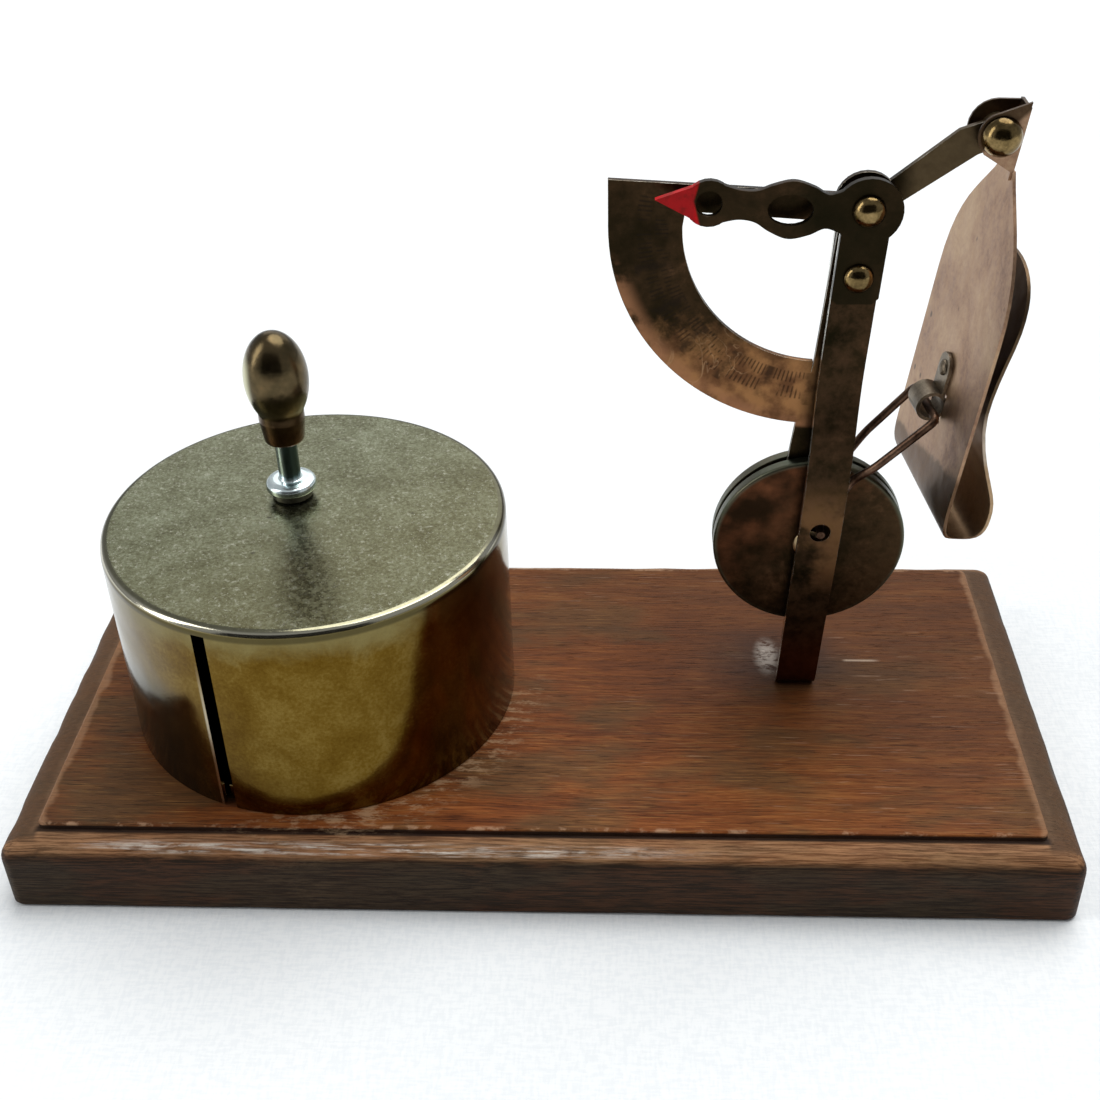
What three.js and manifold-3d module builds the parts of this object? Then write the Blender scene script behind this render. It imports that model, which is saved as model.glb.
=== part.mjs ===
// Desk set: a moulded wooden board that carries a brass pendulum letter scale and a brass dispenser
// for a coil of stamps. Millimetres, +Z up. The origin is the centre of the board's underside,
// +X runs along the board towards the scale and +Y towards the back.
import * as THREE from 'three';
import { mergeVertices } from 'three/addons/utils/BufferGeometryUtils.js';
import Module from 'manifold-3d';

const wasm = await Module();
wasm.setup();

// ---------------------------------------------------------------- driving dimensions

const gap = 0.05; // between faces that lie flat on each other
const runningGap = 0.25; // between a pin and its hole, on the radius

const board = { length: 152.4, depth: 71, thickness: 12.7, corner: 1.8, inset: 3.9, endInset: 5.1 };
// The moulded edge along the board's front, from its underside up to the panel's foot: [distance in, height].
// At the board's ends the moulding is wider in the ratio of the two insets.
const moulding = [[0.4, 0], [0, 0.5], [0, 8.8], [0.2, 9.7], [0.7, 10.4], [1.6, 11.1], [2.8, 11.5], [4.4, 11.7]];

// The dispenser: its cover's centre, and the spindle's place in the cover's top.
const can = { x: -34.2, y: 0.1, radius: 29.4, wall: 0.7, height: 32.6, rim: 1.4 };
const slot = { width: 2.0, fromFront: 19, belowTop: 1.6 };
const spindle = { x: -36.7, y: 4.4, radius: 1.6, bottom: 38.0, top: 59.0 };
const flange = { radius: 3.7, thickness: 1.6, bossRadius: 3.0, bossHeight: 1.2 };
const knobShape = { bottom: 54.9, top: 72.0, collar: 3.0, shoulder: 3.3, egg: 4.6 };
const dish = { radius: 28.1, sheet: 0.8, rim: 3.0, screwCircle: 21 };
const hub = { radius: 8, wall: 1, height: 20, foot: 11 };

// The scale: everything is laid out about one middle plane, which is parallel to the board's front.
const middle = 4.6;
const strip = { width: 6.0, sheet: 1.0, halfTop: 2.1, halfBow: 5.1, halfFoot: 4.3, neck: 1.5 };
const postFoot = { x: 39.0, z: board.thickness };
const pivot = { x: 43.33, z: 90.2 };
const lean = (pivot.x - postFoot.x) / (pivot.z - postFoot.z);
const onPost = (z) => postFoot.x + lean * (z - postFoot.z);
const lowerRivetZ = 81.0;
const linkPivot = { x: onPost(42.3), z: 42.3 };

const bracketSheet = 0.9;
const bracketFace = middle - strip.halfTop - strip.sheet / 2 - gap; // back face of the pointer bracket
const bracketTilt = 3.6; // degrees that the pointer rises above level

const beamSheet = 0.8;
const quadrant = { x: 39.66, z: 87.0, outer: 29.5, inner: 19.75, top: 93.5 };
const weight = { x: 39.6, z: 38.1, radius: 14.0, sheet: 1.8 };
const trayPivot = { x: 58.9, z: 99.2 };
const armWidth = 3.9;

// The letter tray, in its own frame: x away from the plate's face, y across, z up from the pivot.
const tray = { offset: 2.5, halfWidth: 12.8, sheet: 0.45, tip: 7.4, turn: 6.8 };
const ears = { inside: 1.7, frontRadius: 2.9, rearRadius: 3.5 };
const eye = { x: -1.75, z: -38.7, inner: 1.7, outer: 2.2, halfLength: 2.0 };
const wire = { radius: 0.6, halfSpread: 3.5, splayed: 5.0, bend: 1.2, drop: 0.39 };
const knee = { x: 44.8, z: 50.0 }; // where the wire's two sides turn, just clear of the post
const splay = { x: 47.4, z: 52.9 }; // where they run straight again, further apart

// ---------------------------------------------------------------- materials

const metal = (color, roughness, metalness = 1) =>
  new THREE.MeshStandardMaterial({ color, roughness, metalness });
const oak = new THREE.MeshStandardMaterial({ color: 0x6e4428, roughness: 0.55, metalness: 0 });
const bronzedBrass = metal(0x6b4c33, 0.38);
const wornBrass = metal(0xa98a62, 0.35);
const polishedBrass = metal(0x9a8347, 0.22);
const rivetBrass = metal(0xb08a3e, 0.2);
const greyMetal = metal(0x77725f, 0.5);
const zinc = metal(0xc4ccd0, 0.25);
const darkSteel = metal(0x55524c, 0.45);

// ---------------------------------------------------------------- tools

const deg = THREE.MathUtils.degToRad;

// A closed geometry as a solid, for cuts and joins.
function solid(geometry) {
  geometry.deleteAttribute('normal');
  geometry.deleteAttribute('uv');
  const merged = mergeVertices(geometry, 1e-4);
  return new wasm.Manifold(
    new wasm.Mesh({
      numProp: 3,
      vertProperties: Float32Array.from(merged.attributes.position.array),
      triVerts: Uint32Array.from(merged.index.array),
    }),
  );
}

// A solid back as a geometry.
function geometryOf(body) {
  const mesh = body.getMesh();
  const geometry = new THREE.BufferGeometry();
  geometry.setAttribute('position', new THREE.BufferAttribute(mesh.vertProperties, 3));
  geometry.setIndex(new THREE.BufferAttribute(mesh.triVerts, 1));
  geometry.computeVertexNormals();
  return geometry;
}

const joined = (first, ...others) => others.reduce((sum, body) => sum.add(body), first);
const cut = (first, ...others) => others.reduce((rest, body) => rest.subtract(body), first);

// A flat shape drawn in x and z, as a plate of the given thickness whose back face is at y.
function plate(shape, back, thickness, curveSegments = 12) {
  const settings = { depth: thickness, bevelEnabled: false, curveSegments };
  const geometry = new THREE.ExtrudeGeometry(shape, settings);
  return geometry.rotateX(Math.PI / 2).translate(0, back, 0);
}

// A flat shape drawn in y and z, as a slab that starts at x.
function slab(shape, x, width, curveSegments = 12) {
  const settings = { depth: width, bevelEnabled: false, curveSegments };
  const geometry = new THREE.ExtrudeGeometry(shape, settings);
  return geometry.rotateX(Math.PI / 2).rotateZ(Math.PI / 2).translate(x, 0, 0);
}

// A closed profile of [radius, height] points, turned about the y axis or stood up along z.
function turned(points, segments = 24) {
  const profile = points.map(([radius, height]) => new THREE.Vector2(radius, height));
  return new THREE.LatheGeometry(profile, segments);
}
const turnedUp = (points, segments) => turned(points, segments).rotateX(Math.PI / 2);

// A plain cylinder along y (for holes and pins) or along z.
function rod(radius, from, to, x, z, sides = 20) {
  return new THREE.CylinderGeometry(radius, radius, to - from, sides).translate(x, (from + to) / 2, z);
}
function post(radius, from, to, x, y, sides = 24) {
  const cylinder = new THREE.CylinderGeometry(radius, radius, to - from, sides).rotateX(Math.PI / 2);
  return cylinder.translate(x, y, (from + to) / 2);
}

// Points of a dome, from its edge at [radius, 0] to its top on the axis.
function domePoints(radius, height, steps = 4) {
  const points = [];
  for (let i = 0; i <= steps; i += 1) {
    const angle = ((Math.PI / 2) * i) / steps;
    points.push([i === steps ? 0 : radius * Math.cos(angle), height * Math.sin(angle)]);
  }
  return points;
}

// A rivet along y: a dome in front of `face`, a shank, and a smaller dome behind `tail`.
function rivet({ x, z, face, tail, shank, head, headHeight, tailHead, tailHeight }, segments = 16) {
  const front = domePoints(head, headHeight).map(([r, h]) => [r, face - h]);
  const back = domePoints(tailHead, tailHeight).map(([r, h]) => [r, tail + h]);
  const profile = [...front.reverse(), [shank, face], [shank, tail], ...back];
  return turned(profile, segments).translate(x, 0, z);
}

// A washer along y.
function washer(inner, outer, from, to, x, z, segments = 20) {
  const profile = [[inner, from], [outer, from], [outer, to], [inner, to], [inner, from]];
  return turned(profile, segments).translate(x, 0, z);
}

// A wood screw that stands in a hole: a domed head on `seat` with a cross-cut slot, and a pointed shank.
function woodScrew(x, y, seat, headRadius, shankRadius, length) {
  const head = domePoints(headRadius, 1.3).map(([r, h]) => [r, seat + h]);
  const tip = seat - length;
  const profile = [[0, tip], [shankRadius, tip + 2], [shankRadius, seat], ...head];
  const body = solid(turnedUp(profile, 16).translate(x, y, 0));
  const driverSlot = solid(new THREE.BoxGeometry(2 * headRadius + 1, 0.6, 0.8).translate(x, y, seat + 1.3));
  return cut(body, driverSlot);
}

// A strip of constant thickness along a path, as a flat shape.
function ribbon(path, thickness, divisions = 12) {
  const points = path.getPoints(divisions);
  const side = (sign) =>
    points.map((point, i) => {
      const before = points[Math.max(i - 1, 0)];
      const after = points[Math.min(i + 1, points.length - 1)];
      const along = after.clone().sub(before).normalize();
      const half = (sign * thickness) / 2;
      return new THREE.Vector2(point.x - along.y * half, point.y + along.x * half);
    });
  return new THREE.Shape([...side(1), ...side(-1).reverse()]);
}

const polygon = (points) => new THREE.Shape(points.map(([x, y]) => new THREE.Vector2(x, y)));
const disc = (x, y, radius) => new THREE.Shape().absarc(x, y, radius, 0, 2 * Math.PI);

function roundedRectangle(width, depth, radius) {
  const x = width / 2 - radius;
  const y = depth / 2 - radius;
  const shape = new THREE.Shape();
  shape.absarc(x, y, radius, 0, Math.PI / 2);
  shape.absarc(-x, y, radius, Math.PI / 2, Math.PI);
  shape.absarc(-x, -y, radius, Math.PI, 1.5 * Math.PI);
  shape.absarc(x, -y, radius, 1.5 * Math.PI, 2 * Math.PI);
  shape.closePath();
  return shape;
}

const set = new THREE.Group();

function add(name, shape, material) {
  const geometry = shape instanceof THREE.BufferGeometry ? shape : geometryOf(shape);
  const mesh = new THREE.Mesh(geometry, material);
  mesh.name = name;
  set.add(mesh);
}

// ---------------------------------------------------------------- board

// Where the screws stand, so that board, dish and screws agree.
const dishScrews = [90, 210, 330].map((degrees) => {
  const angle = deg(degrees);
  return [can.x + dish.screwCircle * Math.cos(angle), can.y + dish.screwCircle * Math.sin(angle)];
});

// Rounded rectangles stacked up into one solid, one for each step of the moulding.
function stacked(levels) {
  const positions = [];
  const index = [];
  const rings = levels.map(([inset, z]) => {
    const corner = Math.max(board.corner - inset, 0.5);
    const endInset = (inset * board.endInset) / board.inset;
    const outline = roundedRectangle(board.length - 2 * endInset, board.depth - 2 * inset, corner);
    return outline.extractPoints(5).shape.map((point) => [point.x, point.y, z]);
  });
  const count = rings[0].length;
  rings.flat().forEach((point) => positions.push(...point));
  for (let level = 0; level < rings.length - 1; level += 1) {
    for (let k = 0; k < count; k += 1) {
      const a = level * count + k;
      const b = level * count + ((k + 1) % count);
      index.push(a, b, a + count, b, b + count, a + count);
    }
  }
  const top = (rings.length - 1) * count;
  for (let k = 1; k < count - 1; k += 1) {
    index.push(0, k + 1, k, top, top + k, top + k + 1);
  }
  const geometry = new THREE.BufferGeometry();
  geometry.setAttribute('position', new THREE.Float32BufferAttribute(positions, 3));
  geometry.setIndex(index);
  return solid(geometry);
}

function makeBoard() {
  const panel = new THREE.ExtrudeGeometry(
    roundedRectangle(board.length - 2 * board.endInset, board.depth - 2 * board.inset, 1.2),
    { bevelEnabled: false, depth: board.thickness - 6, curveSegments: 4 },
  ).translate(0, 0, 6);
  const pilotHole = ([x, y]) => solid(post(1.3, board.thickness - 9, board.thickness + 1, x, y, 16));
  const holes = [...dishScrews, [postFoot.x, middle]].map(pilotHole);
  return cut(joined(stacked(moulding), solid(panel)), ...holes);
}

// ---------------------------------------------------------------- post

// Moves every point sideways in proportion to its height, as the post leans.
function leaning(geometry) {
  const sideways = new THREE.Matrix4().makeShear(0, 0, 0, 0, lean, 0);
  return geometry.applyMatrix4(sideways).translate(postFoot.x - lean * postFoot.z, 0, 0);
}

// The middle line of one leg, from the top down to the middle of the foot. side is -1 in front, 1 behind.
function legPath(side) {
  const footLine = postFoot.z + strip.sheet / 2;
  const path = new THREE.Path();
  path.moveTo(side * strip.halfTop, pivot.z + 4);
  path.lineTo(side * strip.halfTop, 68);
  path.bezierCurveTo(side * strip.halfTop, 60, side * strip.halfBow, 57, side * strip.halfBow, 44);
  const bend = footLine + 2.2;
  path.bezierCurveTo(side * strip.halfBow, 32, side * strip.halfFoot, 24, side * strip.halfFoot, bend);
  path.quadraticCurveTo(side * strip.halfFoot, footLine, side * (strip.halfFoot - 2.2), footLine);
  return path;
}

function makePost() {
  const front = legPath(-1).getPoints(8);
  const back = legPath(1).getPoints(8).reverse();
  const middleLine = new THREE.Path([...front, ...back]);
  const bentStrip = solid(slab(ribbon(middleLine, strip.sheet, 1), -strip.width / 2, strip.width));
  // The legs end in half-rounds about the pivot.
  const half = strip.width / 2;
  const outline = new THREE.Shape();
  outline.moveTo(-half, 0);
  outline.lineTo(half, 0);
  outline.absarc(0, pivot.z, half, 0, Math.PI);
  outline.closePath();
  const rounded = bentStrip.intersect(solid(plate(outline, 12, 24)));
  // The foot tapers towards the back, and the rear leg is narrower below the weight.
  const trims = [-1, 1].map((side) => {
    const trim = polygon([
      [side * half, -3.2], [side * strip.neck, 2.6], [side * strip.neck, 8], [side * 5, 8], [side * 5, -3.2],
    ]);
    return solid(new THREE.ExtrudeGeometry(trim, { depth: 13, bevelEnabled: false }).translate(0, 0, 10));
  });
  const holes = [
    solid(rod(1.3, -9, 9, 0, pivot.z)),
    solid(rod(1.15, -9, 0, 0, lowerRivetZ)),
    solid(rod(1.5, -9, 9, 0, linkPivot.z)),
    solid(post(1.3, 0, postFoot.z + 3, 0, 0, 16)),
  ];
  return leaning(geometryOf(cut(rounded, ...trims, ...holes))).translate(0, middle, 0);
}

// ---------------------------------------------------------------- pointer bracket

// A smooth outline through stations of [along, centre, half-width].
function waisted(stations) {
  const edge = (sign) => stations.map(([u, centre, half]) => new THREE.Vector2(u, centre + sign * half));
  const shape = new THREE.Shape();
  const upper = edge(1);
  const lower = edge(-1).reverse();
  shape.moveTo(upper[0].x, upper[0].y);
  shape.splineThru(upper.slice(1));
  shape.lineTo(lower[0].x, lower[0].y);
  shape.splineThru(lower.slice(1));
  shape.closePath();
  return shape;
}

function makeBracket() {
  const face = (shape, segments) => solid(plate(shape, bracketFace, bracketSheet, segments));
  const through = (x, z, rx, rz) => {
    const hole = new THREE.Shape().absellipse(x, z, rx, rz, 0, 2 * Math.PI);
    return solid(plate(hole, bracketFace + 1, bracketSheet + 2, 10));
  };
  // The pointer runs along -x from the pivot, and is tilted afterwards.
  const arrow = face(polygon([[-27.2, 0], [-21.4, -2.75], [-21.4, 2.45]]));
  const ring = face(disc(-20.3, -0.15, 3.1), 12);
  const bar = waisted([
    [-18.6, -0.1, 2.5], [-16.4, -0.1, 1.95], [-14.3, -0.2, 2.1], [-12.3, -0.35, 3.1],
    [-9.8, -0.45, 3.85], [-7.2, -0.45, 3.2], [-5.2, -0.4, 2.25], [-3.2, -0.3, 2.9],
  ]);
  const pointer = cut(
    joined(arrow, ring, face(bar, 5)),
    through(-20.3, -0.15, 1.72, 1.72),
    through(-9.9, -0.45, 2.95, 2.1),
  );
  const tilted = geometryOf(pointer).rotateY(deg(bracketTilt)).translate(pivot.x, 0, pivot.z);
  const head = face(disc(pivot.x, pivot.z - 0.2, 4.45), 16);
  const half = strip.width / 2 + 0.1;
  const low = lowerRivetZ - 3.7;
  const tail = face(
    polygon([
      [onPost(pivot.z) - half, pivot.z], [onPost(low) - half, low + 0.8], [onPost(low) - half + 0.8, low],
      [onPost(low) + half - 0.8, low], [onPost(low) + half, low + 0.8], [onPost(pivot.z) + half, pivot.z],
    ]),
  );
  return cut(
    joined(solid(tilted), head, tail),
    solid(rod(1.05 + runningGap, -9, 9, pivot.x, pivot.z)),
    solid(rod(1.15, -9, 9, onPost(lowerRivetZ), lowerRivetZ)),
  );
}

// ---------------------------------------------------------------- beam

function makeBeam() {
  const back = middle + beamSheet / 2;
  const sheet = (shape, segments) => solid(plate(shape, back, beamSheet, segments));
  const q = quadrant;
  const down = 1.478 * Math.PI; // the ring ends just past its lowest point, behind the post
  const ring = new THREE.Shape();
  ring.moveTo(q.x - q.outer, q.top);
  ring.lineTo(q.x - q.outer, q.z + 0.01);
  ring.absarc(q.x, q.z, q.outer, Math.PI, down);
  ring.absarc(q.x, q.z, q.inner, down, Math.PI, true);
  ring.lineTo(q.x - q.inner + 0.3, q.top - 4.4);
  ring.lineTo(pivot.x - 2.3, q.top - 6.1);
  ring.lineTo(pivot.x - 2.3, q.top - 2.2);
  ring.closePath();
  const pendulum = polygon([
    [pivot.x - 3.1, pivot.z - 2], [38.4, 67.0], [36.5, 57.2], [35.4, 48.0], [weight.x - 3.1, weight.z],
    [weight.x + 3.1, weight.z], [pivot.x + 3.1, pivot.z - 2],
  ]);
  const arm = polygon([
    [45.0, 92.1], [54.1, 99.5], [57.8, 100.8], [59.5, 97.35], [56.7, 96.3], [46.6, 89.25],
  ]);
  const body = joined(
    sheet(ring, 24),
    sheet(pendulum),
    sheet(disc(weight.x, weight.z, weight.radius - 0.9), 24),
    sheet(disc(pivot.x, pivot.z, 4.0), 14),
    sheet(arm),
    sheet(disc(trayPivot.x, trayPivot.z, armWidth / 2), 10),
  );
  return cut(
    body,
    solid(rod(1.05 + runningGap, -9, 19, pivot.x, pivot.z)),
    solid(rod(0.9 + runningGap, -9, 19, trayPivot.x, trayPivot.z)),
    solid(rod(1.1 + runningGap, -9, 19, weight.x, weight.z)),
  );
}

// One of the weight's two discs. side is -1 in front, 1 behind.
function makeShell(side) {
  const inner = middle + side * (beamSheet / 2 + gap);
  const outer = inner + side * weight.sheet;
  const { radius } = weight;
  const hole = 1.1 + runningGap;
  const round = 0.45;
  const profile = [
    [hole, inner], [radius, inner], [radius, outer - side * round],
    [radius - round, outer], [hole, outer], [hole, inner],
  ];
  return turned(side > 0 ? profile : profile.reverse(), 48).translate(weight.x, 0, weight.z);
}

// ---------------------------------------------------------------- letter tray

// From the tray's own frame to its place: turned about z, tipped about y, and moved to the pivot.
function onTray(geometry, turn = tray.turn) {
  const turnedPart = geometry.rotateZ(deg(turn)).rotateY(deg(tray.tip));
  return turnedPart.translate(trayPivot.x + tray.offset, middle, trayPivot.z);
}

// The lug stands off the plate, so it is set sideways by this much to keep its eye in the middle plane.
const lugShift = -eye.x * Math.tan(deg(tray.turn));
const lugRivetRise = 5.2; // from the eye's centre up to the lug's rivet

function makeTray() {
  const { halfWidth, sheet } = tray;
  const foldBottom = -53.9;
  const cornerTop = -50.5; // the fold's two corners are rounded off below this
  // The strip's middle line: down the plate, round the fold, up the tongue.
  const line = new THREE.Path();
  line.moveTo(0, -4.5);
  line.lineTo(0, -48);
  line.bezierCurveTo(0, -51.5, 0.2, foldBottom, 2.8, foldBottom);
  line.bezierCurveTo(5.8, foldBottom, 6.2, -51.5, 6.0, -48.5);
  line.bezierCurveTo(5.7, -45, 2.3, -42, 2.3, -35);
  line.bezierCurveTo(2.3, -28, 4.1, -24, 4.8, -11);
  const folded = solid(plate(ribbon(line, sheet, 8), halfWidth, 2 * halfWidth));
  // The outlines of plate and tongue, seen square on.
  const shield = new THREE.Shape();
  shield.moveTo(-halfWidth, cornerTop);
  shield.bezierCurveTo(-halfWidth, -53.2, -11.6, -54.8, -9, -54.8);
  shield.lineTo(9, -54.8);
  shield.bezierCurveTo(11.6, -54.8, halfWidth, -53.2, halfWidth, cornerTop);
  shield.lineTo(halfWidth, -24);
  shield.bezierCurveTo(halfWidth, -13, 6.5, -10, 2.2, -4.5);
  shield.lineTo(-2.2, -4.5);
  shield.bezierCurveTo(-6.5, -10, -halfWidth, -13, -halfWidth, -24);
  shield.closePath();
  const leaf = new THREE.Shape();
  leaf.moveTo(-halfWidth, cornerTop);
  leaf.bezierCurveTo(-halfWidth, -53.2, -11.6, -54.8, -9, -54.8);
  leaf.lineTo(9, -54.8);
  leaf.bezierCurveTo(11.6, -54.8, halfWidth, -53.2, halfWidth, cornerTop);
  leaf.lineTo(halfWidth, -45);
  leaf.bezierCurveTo(halfWidth, -40, 10.4, -38.5, 10.3, -33);
  leaf.lineTo(10.1, -25);
  leaf.bezierCurveTo(9.7, -18, 5.5, -15.7, 0, -15.7);
  leaf.bezierCurveTo(-5.5, -15.7, -9.7, -18, -10.1, -25);
  leaf.lineTo(-10.3, -33);
  leaf.bezierCurveTo(-10.4, -38.5, -halfWidth, -40, -halfWidth, -45);
  leaf.closePath();
  const window = joined(solid(slab(shield, -1, 2.2, 10)), solid(slab(leaf, 1.2, 7, 10)));
  const rivetHole = rod(0.6 + runningGap, -1, 1, 0, 0, 12).rotateZ(Math.PI / 2);
  rivetHole.translate(0, lugShift, eye.z + lugRivetRise);
  // The lug's eye stands in a small opening of the plate.
  const openingHalf = eye.halfLength + 0.35;
  const opening = polygon([
    [lugShift - openingHalf, eye.z - 2.6], [lugShift + openingHalf, eye.z - 2.6],
    [lugShift + openingHalf, eye.z + 2.0], [lugShift - openingHalf, eye.z + 2.0],
  ]);
  const sheetMetal = cut(folded.intersect(window), solid(rivetHole), solid(slab(opening, -1, 2)));
  // The clevis: a spine behind the pivot and two ears, the front one with a raised tip.
  const outside = ears.inside + sheet;
  const spine = solid(onTray(new THREE.BoxGeometry(sheet, 2 * outside, 9.3).translate(0, 0, -1.05), 0));
  const ear = (back, radius, flank) =>
    joined(
      solid(plate(disc(trayPivot.x, trayPivot.z, radius), back, sheet, 12)),
      solid(plate(polygon(flank), back, sheet)),
    );
  const frontFlank = [[57.9, 101.9], [62.1, 103.4], [60.8, 94.5], [57.0, 96.9]];
  const rearFlank = [[58.9, 102.7], [62.0, 102.6], [60.8, 94.6], [57.9, 96.3]];
  const beyondSpine = new THREE.BoxGeometry(4, 9, 16).translate(sheet / 2 + 2, 0, 0);
  const hole = solid(rod(0.9 + runningGap, -9, 19, trayPivot.x, trayPivot.z));
  const clevis = cut(
    joined(
      spine,
      ear(middle - ears.inside, ears.frontRadius, frontFlank),
      ear(middle + outside, ears.rearRadius, rearFlank),
    ),
    hole,
    solid(onTray(beyondSpine, 0)),
  );
  return joined(solid(onTray(geometryOf(sheetMetal))), clevis);
}

function makeLug() {
  const leafBack = -tray.sheet / 2 - gap;
  const half = eye.halfLength;
  const ring = solid(rod(eye.outer, -half, half, eye.x, eye.z, 20));
  const hole = solid(rod(eye.inner, -half - 1, half + 1, eye.x, eye.z, 20));
  const face = new THREE.Shape();
  face.moveTo(-half, 1.2);
  face.lineTo(half, 1.2);
  face.lineTo(half, 5.4);
  face.bezierCurveTo(half, 8, -half, 8, -half, 5.4);
  face.closePath();
  const leaf = solid(slab(face, leafBack - 0.5, 0.5, 6).translate(0, 0, eye.z));
  const bore = rod(0.6 + runningGap, -2, 2, 0, 0, 12).rotateZ(Math.PI / 2);
  const rivetHole = solid(bore.translate(0, 0, eye.z + lugRivetRise));
  return onTray(geometryOf(cut(joined(ring, leaf), hole, rivetHole)).translate(0, lugShift, 0));
}

function makeLugRivet() {
  const left = -tray.sheet / 2 - gap - 0.5 - gap;
  const right = tray.sheet / 2 + gap;
  const shape = { x: 0, z: 0, face: left, tail: right, shank: 0.6, head: 1.15, headHeight: 0.6 };
  const alongY = rivet({ ...shape, tailHead: 1.0, tailHeight: 0.35 }, 16);
  return onTray(alongY.rotateZ(-Math.PI / 2).translate(0, lugShift, eye.z + lugRivetRise));
}

// ---------------------------------------------------------------- wire link

// The far end of the link: just below the eye's centre at rest, so that it keeps clear of the eye all round.
const linkEnd = new THREE.Vector3(eye.x / Math.cos(deg(tray.turn)), 0, eye.z)
  .applyAxisAngle(new THREE.Vector3(0, 1, 0), deg(tray.tip))
  .add(new THREE.Vector3(trayPivot.x + tray.offset, middle, trayPivot.z - wire.drop));

function makeLink() {
  const hookLength = 2.75;
  const turned = Math.tan(deg(tray.turn)); // the far end lies along the turned plate
  const corner = (x, offset, z) => new THREE.Vector3(x, middle + offset, z);
  // One side of the link, from its hook in the post to its far corner. side is -1 in front, 1 behind.
  const cornersOf = (side) => [
    corner(linkPivot.x, side * (wire.halfSpread + hookLength), linkPivot.z),
    corner(linkPivot.x, side * wire.halfSpread, linkPivot.z),
    corner(knee.x, side * wire.halfSpread, knee.z),
    corner(splay.x, side * wire.splayed, splay.z),
    corner(linkEnd.x - side * wire.splayed * turned, side * wire.splayed, linkEnd.z),
  ];
  const corners = [...cornersOf(-1), ...cornersOf(1).reverse()];
  // Straight runs with rounded corners.
  const route = [corners[0]];
  for (let i = 1; i < corners.length - 1; i += 1) {
    const into = corners[i - 1].clone().sub(corners[i]).setLength(wire.bend).add(corners[i]);
    const out = corners[i + 1].clone().sub(corners[i]).setLength(wire.bend).add(corners[i]);
    route.push(...new THREE.QuadraticBezierCurve3(into, corners[i], out).getPoints(4));
  }
  route.push(corners[corners.length - 1]);
  return sweep(route, wire.radius, 10);
}

// A round wire through the points of a route, with flat ends.
function sweep(route, radius, sides) {
  const positions = [];
  const index = [];
  const tangent = (i) =>
    route[Math.min(i + 1, route.length - 1)].clone().sub(route[Math.max(i - 1, 0)]).normalize();
  let across = new THREE.Vector3(0.3, 0.2, 1).cross(tangent(0)).normalize();
  route.forEach((centre, i) => {
    const along = tangent(i);
    across = across.sub(along.clone().multiplyScalar(across.dot(along))).normalize();
    const up = along.clone().cross(across);
    for (let k = 0; k < sides; k += 1) {
      const angle = (2 * Math.PI * k) / sides;
      const offset = across.clone().multiplyScalar(radius * Math.cos(angle));
      const point = offset.add(up.clone().multiplyScalar(radius * Math.sin(angle))).add(centre);
      positions.push(point.x, point.y, point.z);
    }
  });
  for (let i = 0; i < route.length - 1; i += 1) {
    for (let k = 0; k < sides; k += 1) {
      const a = i * sides + k;
      const b = i * sides + ((k + 1) % sides);
      index.push(a, b, a + sides, b, b + sides, a + sides);
    }
  }
  const last = (route.length - 1) * sides;
  for (let k = 1; k < sides - 1; k += 1) {
    index.push(0, k + 1, k, last, last + k, last + k + 1);
  }
  const geometry = new THREE.BufferGeometry();
  geometry.setAttribute('position', new THREE.Float32BufferAttribute(positions, 3));
  geometry.setIndex(index);
  return geometry;
}

// ---------------------------------------------------------------- dispenser

const canTop = board.thickness + can.height;

function makeCover() {
  const bottom = board.thickness + gap;
  const { radius, wall, rim } = can;
  const arc = (r, height, turnRadius) =>
    [0, 1, 2, 3].map((i) => {
      const angle = (Math.PI / 2) * (i / 3);
      const centre = [r - turnRadius, height - turnRadius];
      return [centre[0] + turnRadius * Math.cos(angle), centre[1] + turnRadius * Math.sin(angle)];
    });
  const outside = [[radius, bottom], ...arc(radius, canTop, rim), [0, canTop]];
  const inner = arc(radius - wall, canTop - wall, rim - wall).reverse();
  const inside = [[0, canTop - wall], ...inner, [radius - wall, bottom]];
  const shell = solid(turnedUp([...outside, ...inside, [radius, bottom]], 72).translate(can.x, can.y, 0));
  const slotHeight = can.height - slot.belowTop + 1;
  const blade = new THREE.BoxGeometry(slot.width, 8, slotHeight)
    .translate(0, -radius, board.thickness - 1 + slotHeight / 2)
    .rotateZ(-deg(slot.fromFront))
    .translate(can.x, can.y, 0);
  return cut(shell, solid(blade), solid(post(2.3, canTop - 3, canTop + 1, spindle.x, spindle.y)));
}

function makeDish() {
  const low = board.thickness + gap;
  const { radius, sheet, rim } = dish;
  const profile = [
    [0, low], [radius - 0.6, low], [radius, low + 0.6], [radius, low + rim], [radius - sheet, low + rim],
    [radius - sheet, low + sheet], [0, low + sheet],
  ];
  const body = solid(turnedUp(profile, 48).translate(can.x, can.y, 0));
  const holes = dishScrews.map(([x, y]) => solid(post(1.3, low - 1, low + 3, x, y, 16)));
  return cut(body, ...holes);
}

function makeHub() {
  const low = board.thickness + gap + dish.sheet + gap;
  const inner = hub.radius - hub.wall;
  const profile = [
    [inner, low], [hub.foot, low], [hub.foot, low + 0.8], [hub.radius, low + 0.8],
    [hub.radius, low + hub.height], [inner, low + hub.height], [inner, low],
  ];
  return turnedUp(profile, 28).translate(spindle.x, spindle.y, 0);
}

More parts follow.
